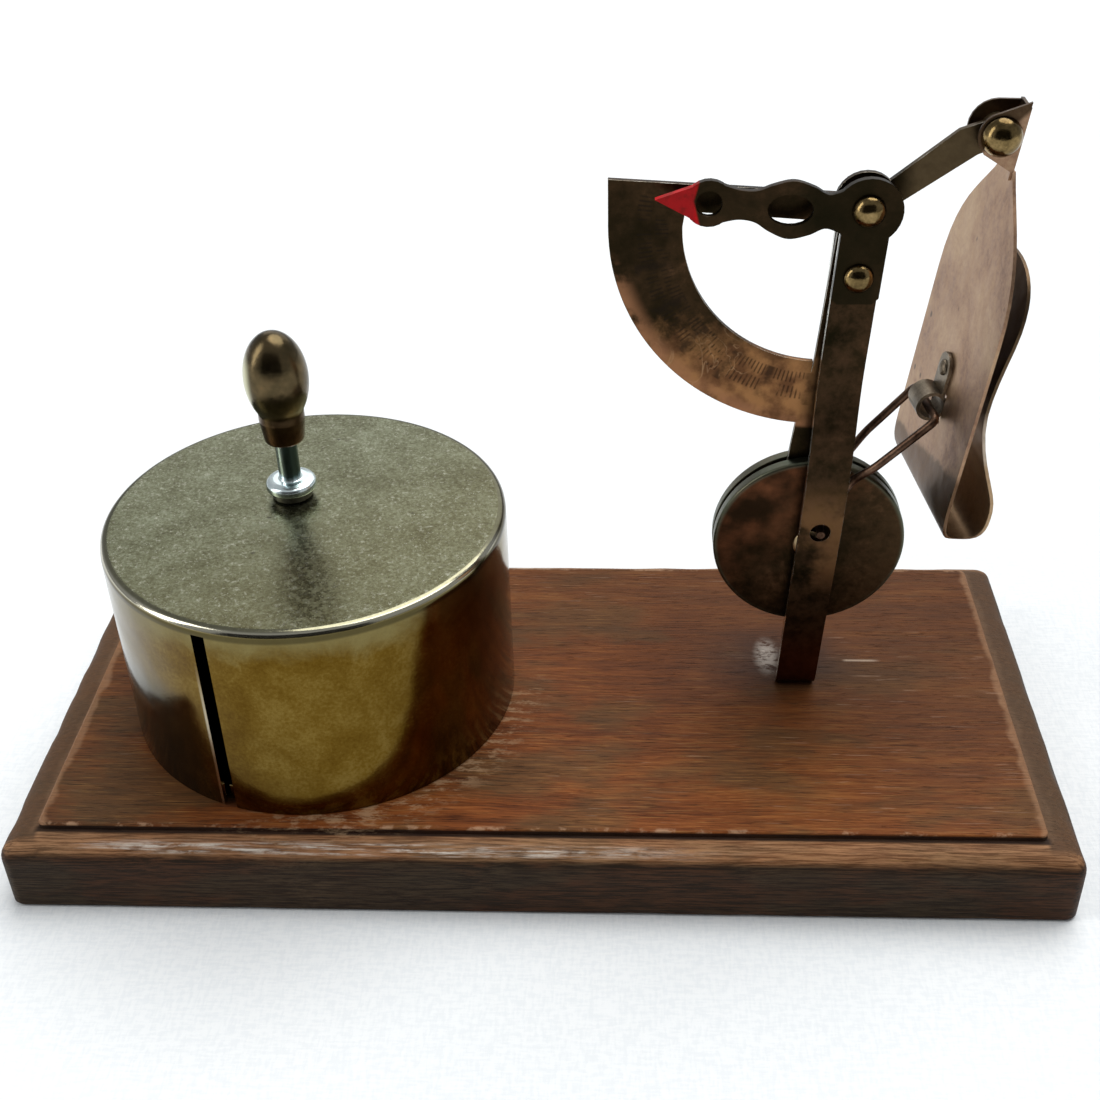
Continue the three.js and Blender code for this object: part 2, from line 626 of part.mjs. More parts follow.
function makeSpindle() {
  const { radius, bottom, top } = spindle;
  const seat = canTop + 0.3;
  const low = seat + flange.bossHeight;
  const high = low + flange.thickness;
  const profile = [
    [0, bottom], [radius - 0.3, bottom], [radius, bottom + 0.4], [radius, seat],
    [flange.bossRadius, seat], [flange.bossRadius, low], [flange.radius - 0.2, low],
    [flange.radius, low + 0.5], [flange.radius - 0.1, high - 0.5], [flange.radius - 0.7, high - 0.1],
    [flange.radius - 1.4, high], [radius, high + 0.05], [radius, top], [0, top],
  ];
  return turnedUp(profile, 24).translate(spindle.x, spindle.y, 0);
}

function makeKnob() {
  const { bottom, top, collar, shoulder, egg } = knobShape;
  const bore = spindle.radius + 0.35;
  const eggBottom = bottom + 5.2;
  const eggMiddle = eggBottom + (top - eggBottom) * 0.42;
  const ceiling = spindle.top + 0.3;
  const profile = [[0, ceiling], [bore, ceiling], [bore, bottom], [collar - 0.9, bottom]];
  profile.push([collar - 0.3, bottom + 0.25], [collar, bottom + 0.9]);
  profile.push([shoulder - 0.05, bottom + 3.7], [shoulder, eggBottom - 0.5]);
  // The egg: fuller below the middle and drawn out above.
  const steps = 9;
  for (let i = 1; i <= steps; i += 1) {
    const angle = -0.82 + ((Math.PI / 2 + 0.82) * i) / steps;
    const rise = angle < 0 ? (eggMiddle - eggBottom) / Math.sin(0.82) : top - eggMiddle;
    profile.push([i === steps ? 0 : egg * Math.cos(angle), eggMiddle + rise * Math.sin(angle)]);
  }
  return turnedUp(profile, 28).translate(spindle.x, spindle.y, 0);
}

function makeClip() {
  const high = canTop - can.wall - 0.3;
  const inner = spindle.radius + runningGap;
  const profile = [[inner, high - 0.6], [3.4, high - 0.6], [3.4, high], [inner, high], [inner, high - 0.6]];
  return turnedUp(profile, 24).translate(spindle.x, spindle.y, 0);
}

// ---------------------------------------------------------------- assembly

const legFront = middle - strip.halfTop - strip.sheet / 2; // outer face of the front leg at the pivot
const legBack = middle + strip.halfTop + strip.sheet / 2;
const bracketFront = bracketFace - bracketSheet;
const spacerIn = beamSheet / 2 + gap;
const spacerOut = strip.halfTop - strip.sheet / 2 - gap;
const earOut = ears.inside + tray.sheet;
const shellOut = beamSheet / 2 + gap + weight.sheet;

add('base_board', makeBoard(), oak);
add('post_strip', makePost(), bronzedBrass);
add('post_screw', woodScrew(postFoot.x, middle, postFoot.z + strip.sheet + gap, 2.2, 1.0, 9), darkSteel);
add('pointer_bracket', makeBracket(), bronzedBrass);
add(
  'bracket_rivet',
  rivet({
    x: onPost(lowerRivetZ), z: lowerRivetZ, face: bracketFront - gap, tail: legFront + strip.sheet + gap,
    shank: 0.9, head: 2.0, headHeight: 1.4, tailHead: 1.3, tailHeight: 0.45,
  }),
  rivetBrass,
);
add(
  'pivot_pin',
  rivet({
    x: pivot.x, z: pivot.z, face: bracketFront - gap, tail: legBack + gap,
    shank: 1.05, head: 2.15, headHeight: 1.7, tailHead: 1.9, tailHeight: 0.9,
  }),
  rivetBrass,
);
add(
  'pivot_spacer_front',
  washer(1.3, 2.4, middle - spacerOut, middle - spacerIn, pivot.x, pivot.z),
  wornBrass,
);
add(
  'pivot_spacer_rear',
  washer(1.3, 2.4, middle + spacerIn, middle + spacerOut, pivot.x, pivot.z),
  wornBrass,
);

add('quadrant_beam', makeBeam(), bronzedBrass);
add('weight_shell_front', makeShell(-1), bronzedBrass);
add('weight_shell_rear', makeShell(1), bronzedBrass);
add(
  'weight_rivet',
  rivet({
    x: weight.x, z: weight.z, face: middle - shellOut - gap, tail: middle + shellOut + gap,
    shank: 1.1, head: 2.3, headHeight: 0.55, tailHead: 2.3, tailHeight: 0.55,
  }),
  wornBrass,
);

add('letter_tray', makeTray(), wornBrass);
add(
  'tray_pivot_rivet',
  rivet({
    x: trayPivot.x, z: trayPivot.z, face: middle - earOut - gap, tail: middle + earOut + gap,
    shank: 0.9, head: 2.55, headHeight: 2.2, tailHead: 1.9, tailHeight: 0.9,
  }),
  rivetBrass,
);
add(
  'ear_spacer_front',
  washer(1.15, 1.9, middle - ears.inside + gap, middle - spacerIn, trayPivot.x, trayPivot.z, 20),
  wornBrass,
);
add(
  'ear_spacer_rear',
  washer(1.15, 1.9, middle + spacerIn, middle + ears.inside - gap, trayPivot.x, trayPivot.z, 20),
  wornBrass,
);
add('tray_lug', makeLug(), greyMetal);
add('lug_rivet', makeLugRivet(), greyMetal);
add('wire_link', makeLink(), bronzedBrass);

add('dispenser_base', makeDish(), polishedBrass);
const dishSeat = board.thickness + gap + dish.sheet + gap;
dishScrews.forEach(([x, y], i) => {
  add(`dispenser_screw_${i + 1}`, woodScrew(x, y, dishSeat, 2.2, 1.0, 8), wornBrass);
});
add('roll_hub', makeHub(), polishedBrass);
add('dispenser_cover', makeCover(), polishedBrass);
add('knob', makeKnob(), bronzedBrass);
add('knob_spindle', makeSpindle(), zinc);
add('spindle_clip', makeClip(), zinc);

export default set;
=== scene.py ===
"""Looks of the desk set: a tarnished brass letter scale and a stamp dispenser on a wooden board.

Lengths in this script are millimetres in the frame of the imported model, unless they say otherwise.
"""

import math

import bmesh
import bpy
from mathutils import Matrix, Vector, noise


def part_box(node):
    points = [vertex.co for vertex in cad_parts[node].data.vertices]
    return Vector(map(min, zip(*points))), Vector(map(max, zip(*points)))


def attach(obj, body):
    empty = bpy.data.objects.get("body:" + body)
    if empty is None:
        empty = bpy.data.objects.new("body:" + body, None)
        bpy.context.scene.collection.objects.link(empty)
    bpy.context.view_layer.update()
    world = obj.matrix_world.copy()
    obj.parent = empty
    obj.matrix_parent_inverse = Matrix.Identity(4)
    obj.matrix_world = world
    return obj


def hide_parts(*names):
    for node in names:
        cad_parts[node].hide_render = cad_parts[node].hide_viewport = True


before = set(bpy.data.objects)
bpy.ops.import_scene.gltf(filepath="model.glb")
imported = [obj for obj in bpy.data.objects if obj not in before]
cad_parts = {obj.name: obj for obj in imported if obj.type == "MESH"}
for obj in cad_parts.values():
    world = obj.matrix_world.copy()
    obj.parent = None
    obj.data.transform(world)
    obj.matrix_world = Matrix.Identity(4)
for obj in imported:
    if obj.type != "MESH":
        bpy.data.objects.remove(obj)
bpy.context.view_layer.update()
scene = bpy.context.scene
MM = 0.001


def box_mm(node):
    low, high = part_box(node)
    return low / MM, high / MM


def new_object(name, data):
    made = bpy.data.objects.new(name, data)
    scene.collection.objects.link(made)
    return made


# The dispenser's cover, which its material needs too.
cover_low, cover_high = box_mm("dispenser_cover")
can_centre = (cover_low + cover_high) / 2
can_radius = (cover_high.x - cover_low.x) / 2
can_bottom, can_top = cover_low.z, cover_high.z
WALL = 0.7
SLOT_WIDTH = 2.0
SLOT_TURN = math.radians(19)
SLOT_BELOW_TOP = 1.6


# ---------------------------------------------------------------- camera

CAMERA_AT = Vector((12.3, -179.54, 162.88)) * MM
YAW, PITCH, ROLL = -0.06, 0.605, -0.031
LENS = 48.53

level = math.cos(PITCH)
forward = Vector((math.sin(YAW) * level, math.cos(YAW) * level, -math.sin(PITCH)))
right = Vector((math.cos(YAW), -math.sin(YAW), 0))
up = right.cross(forward)
cam_x = right * math.cos(ROLL) + up * math.sin(ROLL)
cam_y = up * math.cos(ROLL) - right * math.sin(ROLL)
turn = Matrix((cam_x, cam_y, -forward)).transposed().to_4x4()
camera = new_object("camera", bpy.data.cameras.new("camera"))
camera.matrix_world = Matrix.Translation(CAMERA_AT) @ turn
camera.data.lens = LENS
camera.data.sensor_width = 36
camera.data.clip_start = 0.01
camera.data.clip_end = 20
scene.camera = camera
scene.view_settings.view_transform = "Standard"


# ---------------------------------------------------------------- shader building

class Shader:
    """A material being built: most calls add a node and give back its output socket.

    Its colour so far is kept in .colour, and each coat of paint goes over it.
    """

    def __init__(self, name):
        self.material = bpy.data.materials.new(name)
        self.material.use_nodes = True
        self.tree = self.material.node_tree
        self.bsdf = self.tree.nodes["Principled BSDF"]
        self.colour = None
        coords = self.tree.nodes.new("ShaderNodeTexCoord").outputs["Object"]
        scaled = self.add("ShaderNodeVectorMath", operation="SCALE")
        self.link(coords, scaled.inputs[0])
        scaled.inputs["Scale"].default_value = 1 / MM
        self.place = scaled.outputs[0]
        split = self.add("ShaderNodeSeparateXYZ")
        self.link(self.place, split.inputs[0])
        self.x, self.y, self.z = split.outputs

    def add(self, kind, **settings):
        node = self.tree.nodes.new(kind)
        for key, value in settings.items():
            setattr(node, key, value)
        return node

    def link(self, source, socket):
        if isinstance(source, bpy.types.NodeSocket):
            self.tree.links.new(source, socket)
        elif isinstance(source, (tuple, list)) and len(source) == 3 and socket.type == "RGBA":
            socket.default_value = (*source, 1)
        else:
            socket.default_value = source

    def math(self, operation, a, b=0.0):
        node = self.add("ShaderNodeMath", operation=operation)
        self.link(a, node.inputs[0])
        self.link(b, node.inputs[1])
        return node.outputs[0]

    def plus(self, a, b):
        return self.math("ADD", a, b)

    def minus(self, a, b):
        return self.math("SUBTRACT", a, b)

    def times(self, a, b):
        return self.math("MULTIPLY", a, b)

    def unsigned(self, value):
        return self.math("ABSOLUTE", value)

    def away_from(self, across, along):
        """Distance from the point where both offsets are 0."""
        return self.math("SQRT", self.plus(self.times(across, across), self.times(along, along)))

    def ramp(self, value, low, high):
        """0 at low, 1 at high, smooth between."""
        node = self.add("ShaderNodeMapRange", interpolation_type="SMOOTHSTEP")
        self.link(value, node.inputs["Value"])
        node.inputs["From Min"].default_value = low
        node.inputs["From Max"].default_value = high
        return node.outputs["Result"]

    def between(self, value, start, full, fade, end):
        """0 outside start and end, 1 from full to fade, smooth between."""
        return self.times(self.ramp(value, start, full), self.ramp(value, end, fade))

    def scaled(self, value, low, high):
        """A value of 0 to 1 stretched from low to high."""
        return self.plus(self.times(value, high - low), low)

    def moved(self, stretch=(1, 1, 1), shift=(0, 0, 0), turn=(0, 0, 0)):
        """The place in the model, stretched, turned and shifted, for a noise to be laid out in."""
        node = self.add("ShaderNodeMapping")
        self.link(self.place, node.inputs["Vector"])
        node.inputs["Scale"].default_value = stretch
        node.inputs["Location"].default_value = shift
        node.inputs["Rotation"].default_value = turn
        return node.outputs[0]

    def noise(self, scale, detail=4.0, roughness=0.55, vector=None, distortion=0.0):
        node = self.add("ShaderNodeTexNoise")
        self.link(vector or self.place, node.inputs["Vector"])
        node.inputs["Scale"].default_value = scale
        node.inputs["Detail"].default_value = detail
        node.inputs["Roughness"].default_value = roughness
        node.inputs["Distortion"].default_value = distortion
        return node.outputs["Fac"]

    def cells(self, scale, vector=None):
        node = self.add("ShaderNodeTexVoronoi")
        self.link(vector or self.place, node.inputs["Vector"])
        node.inputs["Scale"].default_value = scale
        return node.outputs["Distance"]

    def ground(self, value, stops):
        """The colour that the coats go over: stops along a value of 0 to 1."""
        node = self.add("ShaderNodeValToRGB")
        self.link(value, node.inputs[0])
        elements = node.color_ramp.elements
        while len(elements) < len(stops):
            elements.new(0.5)
        for element, (at, colour) in zip(elements, stops):
            element.position = at
            element.color = (*colour, 1)
        self.colour = node.outputs[0]

    def mix(self, share, a, b):
        node = self.add("ShaderNodeMix", data_type="RGBA")
        self.link(share, node.inputs[0])
        self.link(a, node.inputs[6])
        self.link(b, node.inputs[7])
        return node.outputs[2]

    def coat(self, where, share, paint):
        """Puts a share of paint over the colour so far, where the mask is 1."""
        self.colour = self.mix(self.times(where, share), self.colour, paint)

    def bump(self, height, depth, normal=None):
        """Relief of the given depth, in millimetres for a height of 0 to 1."""
        node = self.add("ShaderNodeBump")
        self.link(height, node.inputs["Height"])
        node.inputs["Distance"].default_value = depth * MM
        if normal is not None:
            self.link(normal, node.inputs["Normal"])
        return node.outputs[0]

    def finish(self, roughness, metallic=1.0, normal=None, gloss=0.5):
        self.link(self.colour, self.bsdf.inputs["Base Color"])
        self.link(roughness, self.bsdf.inputs["Roughness"])
        self.link(metallic, self.bsdf.inputs["Metallic"])
        if normal is not None:
            self.link(normal, self.bsdf.inputs["Normal"])
        self.bsdf.inputs["Specular IOR Level"].default_value = gloss
        return self.material


# ---------------------------------------------------------------- materials

# The scale's landmarks: main pivot, weight's middle, pointer's middle line, the end of its paint.
PIVOT_X, PIVOT_Z = 39.66, 87.0
WEIGHT_X, WEIGHT_Z = 39.6, 38.1
POINTER_Z = 91.7
PAINT_END_X = 21.3
# The dial's ring, its bands of ticks (inside and outside radius) and the angle between ticks.
RING_INSIDE, RING_OUTSIDE = 19.6, 29.7
INNER_BAND, OUTER_BAND, LONG_BAND = (21.6, 23.3), (23.9, 25.7), (21.6, 26.6)
TICK_STEP = 1.45
TICK_WIDTH, LONG_TICK_WIDTH = 0.12, 0.022


def tarnished(
    name, stops, patch=0.09, rough=(0.28, 0.5), shift=(0, 0, 0), extra=None, metal=None, gloss=0.5,
):
    """Old brass gone brown: soft patches over fine mottling, with a little grain in its surface."""
    s = Shader(name)
    here = s.moved(shift=shift)
    patches = s.noise(patch, 5, 0.6, here, 0.4)
    mottle = s.noise(patch * 7, 6, 0.65, here)
    grain = s.noise(5.5, 3, 0.6, here)
    blend = s.plus(s.times(patches, 0.68), s.times(mottle, 0.32))
    s.ground(blend, stops)
    s.coat(s.ramp(grain, 0.5, 0.75), 0.16, stops[0][1])
    if extra is not None:
        extra(s, mottle)
    roughness = s.scaled(mottle, *rough)
    dents = s.bump(s.noise(0.35, 2, 0.5, here), 0.1)
    metallic = 1.0 if metal is None else metal(s)
    return s.finish(roughness, metallic, s.bump(grain, 0.012, dents), gloss)


def dial_face(s, mottle):
    """The dial: darker at the top, golden along the bottom of the ring, with worn bands of ticks."""
    dx = s.minus(s.x, PIVOT_X)
    dz = s.minus(s.z, PIVOT_Z)
    drop = s.minus(PIVOT_Z, s.z)
    radius = s.away_from(dx, dz)
    on_ring = s.between(radius, RING_INSIDE - 1.1, RING_INSIDE, RING_OUTSIDE, RING_OUTSIDE + 0.7)
    on_ring = s.times(on_ring, s.ramp(s.x, 40.5, 36))
    # The lower part of the ring is golden, with fine pale creases.
    golden = s.mix(s.ramp(s.noise(0.22, 5), 0.4, 0.62), (0.32, 0.155, 0.062), (0.13, 0.058, 0.026))
    creases = s.ramp(s.unsigned(s.minus(s.noise(0.16, 3, 0.5, None, 0.8), 0.5)), 0.012, 0.0)
    creases = s.times(creases, s.ramp(s.noise(0.13, 2, 0.5, s.moved(shift=(5, 0, 2))), 0.5, 0.6))
    golden = s.mix(s.times(creases, 0.4), golden, (0.55, 0.34, 0.18))
    low = s.ramp(s.plus(drop, s.times(mottle, 10)), 17, 27)
    s.coat(s.times(low, on_ring), 0.92, golden)
    # A coppery margin follows the ring's outer edge.
    margin = s.times(s.ramp(drop, 2, 10), s.times(s.ramp(radius, 26.6, 29.3), on_ring))
    margin = s.times(margin, s.ramp(s.noise(0.3, 4), 0.34, 0.58))
    s.coat(margin, 0.8, (0.3, 0.14, 0.07))
    # The arm that carries the tray is rubbed lighter.
    rubbed = s.mix(mottle, (0.035, 0.022, 0.011), (0.12, 0.085, 0.045))
    s.coat(s.ramp(s.x, 47, 50), 1, rubbed)
    turn = s.math("ARCTAN2", dz, dx)
    worn = s.ramp(s.noise(0.55, 3, 0.5), 0.36, 0.56)

    def tick_band(edges, step, width):
        inside, outside = edges
        along = s.math("FRACT", s.times(turn, 1 / math.radians(step)))
        line = s.minus(1, s.ramp(s.unsigned(s.minus(along, 0.5)), width, width + 0.16))
        band = s.between(radius, inside - 0.15, inside + 0.1, outside - 0.1, outside + 0.15)
        return s.times(line, band)

    inner_ticks = tick_band(INNER_BAND, TICK_STEP, TICK_WIDTH)
    outer_ticks = tick_band(OUTER_BAND, TICK_STEP, TICK_WIDTH)
    long_ticks = tick_band(LONG_BAND, TICK_STEP * 10, LONG_TICK_WIDTH)
    ticks = s.math("MAXIMUM", s.math("MAXIMUM", inner_ticks, outer_ticks), long_ticks)
    ticks = s.times(s.times(ticks, s.times(worn, 0.65)), s.ramp(s.z, 92.6, 91.2))
    s.coat(ticks, on_ring, (0.014, 0.01, 0.007))


def post_face(s, mottle):
    """The post: coppery pink at the weight's height, near black at the foot."""
    rub = s.times(s.between(s.z, 30, 37, 44, 52), s.ramp(s.noise(0.17, 4), 0.36, 0.56))
    s.coat(rub, 0.9, s.mix(mottle, (0.1, 0.055, 0.022), (0.2, 0.1, 0.045)))
    s.coat(s.ramp(mottle, 0.35, 0.65), 0.3, (0.075, 0.04, 0.022))
    foot = s.ramp(s.z, 26, 17)
    s.coat(foot, 0.75, s.mix(mottle, (0.042, 0.017, 0.007), (0.15, 0.05, 0.02)))


def bracket_face(s, mottle):
    """The pointer's tip is painted red as far as its ring. The rest is darker than the post."""
    s.coat(1, 0.45, (0.012, 0.01, 0.005))
    along = s.plus(s.x, s.times(s.unsigned(s.minus(s.z, POINTER_Z)), -0.25))
    red = s.mix(s.ramp(mottle, 0.4, 0.7), (0.43, 0.012, 0.014), (0.22, 0.012, 0.01))
    s.coat(s.ramp(along, PAINT_END_X, PAINT_END_X - 0.4), 1, red)


def bracket_metal(s):
    """Paint isn't metal: the pointer's red tip is taken out of the metallic share."""
    return s.ramp(s.x, PAINT_END_X - 0.2, PAINT_END_X + 0.1)


def weight_face(s, mottle):
    """The weight: coppery at its upper left, nearly black in the middle, greenish at its edge."""
    dx = s.minus(s.x, WEIGHT_X)
    dz = s.minus(s.z, WEIGHT_Z)
    upper_left = s.ramp(s.plus(s.minus(dz, dx), s.times(mottle, 9)), 4, 20)
    patches = s.ramp(s.noise(0.15, 4, 0.5, s.moved(shift=(3, 8, 1))), 0.34, 0.66)
    copper = s.mix(patches, (0.012, 0.006, 0.003), (0.19, 0.068, 0.03))
    copper = s.mix(s.times(mottle, 0.4), copper, (0.05, 0.025, 0.012))
    s.coat(upper_left, 0.85, copper)
    rubbed_right = s.ramp(s.plus(s.plus(dx, s.times(dz, -0.3)), s.times(mottle, 8)), 9, 19)
    s.coat(rubbed_right, 0.6, (0.075, 0.045, 0.022))
    s.coat(s.ramp(s.away_from(dx, dz), 13.2, 14.0), 0.75, (0.1, 0.115, 0.08))


def knob_face(s, mottle):
    """The knob: a painted highlight, pale, along its left side, and redder towards its collar."""
    # A painted highlight: a pale streak down the left side of the egg.
    left = s.times(s.ramp(s.x, -39.3, -40.6), s.between(s.z, 59.5, 62, 67, 70.5))
    s.coat(left, 0.85, (0.6, 0.58, 0.38))
    lower = s.ramp(s.plus(s.z, s.times(mottle, 4)), 63.5, 58)
    s.coat(lower, 0.7, s.mix(mottle, (0.05, 0.022, 0.01), (0.17, 0.065, 0.028)))


# Colours of each tarnished brass, dark to light, by the height of its noise.
BROWN = [
    (0.34, (0.009, 0.007, 0.003)), (0.47, (0.02, 0.013, 0.006)), (0.58, (0.04, 0.023, 0.011)),
    (0.7, (0.095, 0.05, 0.025)),
]
WIRE = [(0.38, (0.035, 0.018, 0.011)), (0.62, (0.17, 0.1, 0.065))]
# Worn edges: paler bare metal, brightened further as a painted highlight.
EDGE_WEAR_AND_GLINT = [(0.38, (0.07, 0.055, 0.035)), (0.5, (0.34, 0.29, 0.21)), (0.62, (0.74, 0.71, 0.62))]
# A painted glint, near white, for the post's edges and sides.
PAINTED_GLINT = [(0.36, (0.16, 0.14, 0.11)), (0.5, (0.6, 0.57, 0.5)), (0.62, (0.92, 0.91, 0.86))]
KNOB = [
    (0.3, (0.035, 0.026, 0.012)), (0.5, (0.075, 0.056, 0.028)), (0.62, (0.12, 0.085, 0.042)),
    (0.75, (0.22, 0.12, 0.05)),
]
RIVET = [(0.3, (0.05, 0.032, 0.013)), (0.48, (0.16, 0.11, 0.045)), (0.7, (0.36, 0.25, 0.11))]

dial_brass = tarnished("dial_brass", BROWN, shift=(31, 4, 9), extra=dial_face)
post_brass = tarnished("post_brass", BROWN, shift=(7, 40, 3), extra=post_face)
bracket_brass = tarnished(
    "bracket_brass", BROWN, shift=(3, 17, 51), extra=bracket_face, metal=bracket_metal, gloss=0.05)
weight_brass = tarnished("weight_brass", BROWN, patch=0.12, shift=(60, 2, 13), extra=weight_face)
wire_brass = tarnished("wire_brass", WIRE, patch=0.3, rough=(0.3, 0.5), shift=(2, 2, 90))
# Rounded edges of the dial and tray: worn metal with a painted highlight.
edge_brass = tarnished("worn_and_glinting_edges", EDGE_WEAR_AND_GLINT, patch=0.25, rough=(0.18, 0.4))
# The post's edges and sides: a painted glint.
post_glint = tarnished("painted_glint_edges", PAINTED_GLINT, patch=0.2, rough=(0.14, 0.3))
knob_brass = tarnished(
    "knob_brass", KNOB, patch=0.14, rough=(0.16, 0.3), shift=(80, 11, 4), extra=knob_face)
rivet_brass = tarnished("rivet_brass", RIVET, patch=0.4, rough=(0.09, 0.2))


def make_tray_brass():
    """The tray: pinkish beige with fine mottling, small dark pits and a redder, darker foot."""
    s = Shader("tray_brass")
    cloud = s.noise(0.11, 6, 0.62, None, 0.6)
    mottle = s.noise(1.3, 6, 0.7)
    tone = s.plus(s.times(cloud, 0.6), s.times(mottle, 0.4))
    s.ground(tone, [
        (0.36, (0.2, 0.11, 0.072)), (0.5, (0.34, 0.21, 0.13)), (0.64, (0.44, 0.3, 0.185)),
    ])
    pitted = s.ramp(s.noise(0.12, 2, 0.5, s.moved(shift=(0, 7, 3))), 0.46, 0.54)
    pits = s.times(s.ramp(s.cells(0.3, s.moved((1, 1, 0.7))), 0.13, 0.07), pitted)
    s.coat(pits, 0.75, (0.05, 0.035, 0.025))
    slanted = s.plus(s.z, s.times(s.y, 0.22))
    foot = s.ramp(s.plus(slanted, s.times(cloud, -6)), 51.9, 50.7)
    s.coat(foot, 0.85, s.mix(mottle, (0.045, 0.024, 0.012), (0.15, 0.085, 0.045)))
    # Inside the fold the light is painted: painted shade at the top, then a painted highlight, then
    # mottled brown lightened to look lit.
    inside = s.ramp(s.minus(s.x, s.times(s.z, 0.13)), 50.2, 51.2)
    inner = s.mix(s.ramp(s.z, 65, 61), (0.055, 0.036, 0.018), (0.8, 0.66, 0.52))
    below = s.mix(mottle, (0.22, 0.14, 0.075), (0.62, 0.44, 0.27))
    inner = s.mix(s.ramp(s.z, 58.5, 57), inner, below)
    s.coat(inside, 0.85, inner)
    # The ears are nearly black up and left of the rivet and golden below and right of it.
    ears = s.times(s.ramp(s.z, 94.5, 95.5), s.ramp(s.minus(s.x, s.z), -39.8, -40.8))
    s.coat(ears, 0.9, s.mix(mottle, (0.015, 0.009, 0.005), (0.075, 0.045, 0.022)))
    waves = s.bump(s.noise(0.16, 2), 0.25)
    return s.finish(s.scaled(mottle, 0.3, 0.52), 1.0, s.bump(mottle, 0.02, waves))


def make_wall_brass():
    """The cover's wall: polished brass with smudges and faint upright streaks, and painted
    reflections: an olive cast towards the top, a paler left, a dark lower left.
    """
    s = Shader("wall_brass")
    smudge = s.noise(0.12, 5, 0.6, None, 0.5)
    speck = s.noise(2.2, 5, 0.7)
    streak = s.noise(1.0, 3, 0.6, s.moved((0.9, 0.9, 0.06)))
    tone = s.plus(s.times(smudge, 0.55), s.times(speck, 0.45))
    s.ground(tone, [
        (0.38, (0.095, 0.05, 0.005)), (0.5, (0.13, 0.075, 0.01)), (0.62, (0.185, 0.12, 0.026)),
    ])
    # Painted reflections: an olive cast towards the top and a paler, greyer left side.
    higher_reflection = s.ramp(s.plus(s.z, s.times(smudge, 10)), 44, 49)
    s.coat(higher_reflection, 0.7, (0.2, 0.17, 0.072))
    paler_left_reflection = s.ramp(s.plus(s.x, s.times(smudge, 8)), -42, -56)
    s.coat(paler_left_reflection, 0.6, (0.115, 0.1, 0.06))
    # The rim is darker except along the front, where a painted highlight runs as a pale line over a
    # painted dark line.
    rim = s.times(s.ramp(s.z, 43.7, 44.5), s.ramp(s.plus(s.y, s.times(smudge, 8)), -9, -2))
    s.coat(rim, 0.9, (0.05, 0.04, 0.018))
    # A painted dark reflection at the lower left.
    dark_low_reflection = s.times(s.ramp(s.x, -46, -53), s.ramp(s.z, 34, 28))
    s.coat(dark_low_reflection, 0.75, (0.03, 0.03, 0.014))
    # Painted highlight along the front of the rim.
    front_rim_highlight = s.times(s.ramp(s.z, 44.45, 44.75), s.ramp(s.y, -3, -9))
    s.coat(front_rim_highlight, 0.65, (0.62, 0.6, 0.5))
    # Painted dark line under the rim.
    under_rim_painted_dark = s.between(s.z, 43.3, 43.8, 44.3, 44.6)
    s.coat(under_rim_painted_dark, 0.65, (0.035, 0.03, 0.014))
    over_rim = s.ramp(s.z, 45.0, 45.2)
    s.coat(over_rim, 0.9, s.mix(speck, (0.07, 0.065, 0.03), (0.24, 0.23, 0.15)))
    # A painted highlight, a pale line, runs along the lower part of the slot's left edge.
    from_x, from_y = s.minus(s.x, can_centre.x), s.minus(s.y, can_centre.y)
    across = s.minus(s.times(from_x, math.cos(SLOT_TURN)), s.times(from_y, math.sin(SLOT_TURN)))
    edge = -SLOT_WIDTH / 2
    beside = s.between(across, edge - 0.55, edge - 0.3, edge + 0.05, 0.0)
    beside = s.times(s.times(beside, s.ramp(from_y, -20, -24)), s.ramp(s.z, 40, 26))
    s.coat(beside, 0.75, (0.62, 0.56, 0.42))
    roughness = s.plus(s.scaled(smudge, 0.04, 0.22), s.times(s.ramp(speck, 0.55, 0.75), 0.12))
    waves = s.bump(s.noise(0.07, 2), 0.35)
    relief = s.plus(s.times(streak, 0.7), speck)
    return s.finish(roughness, 1.0, s.bump(relief, 0.006, waves))


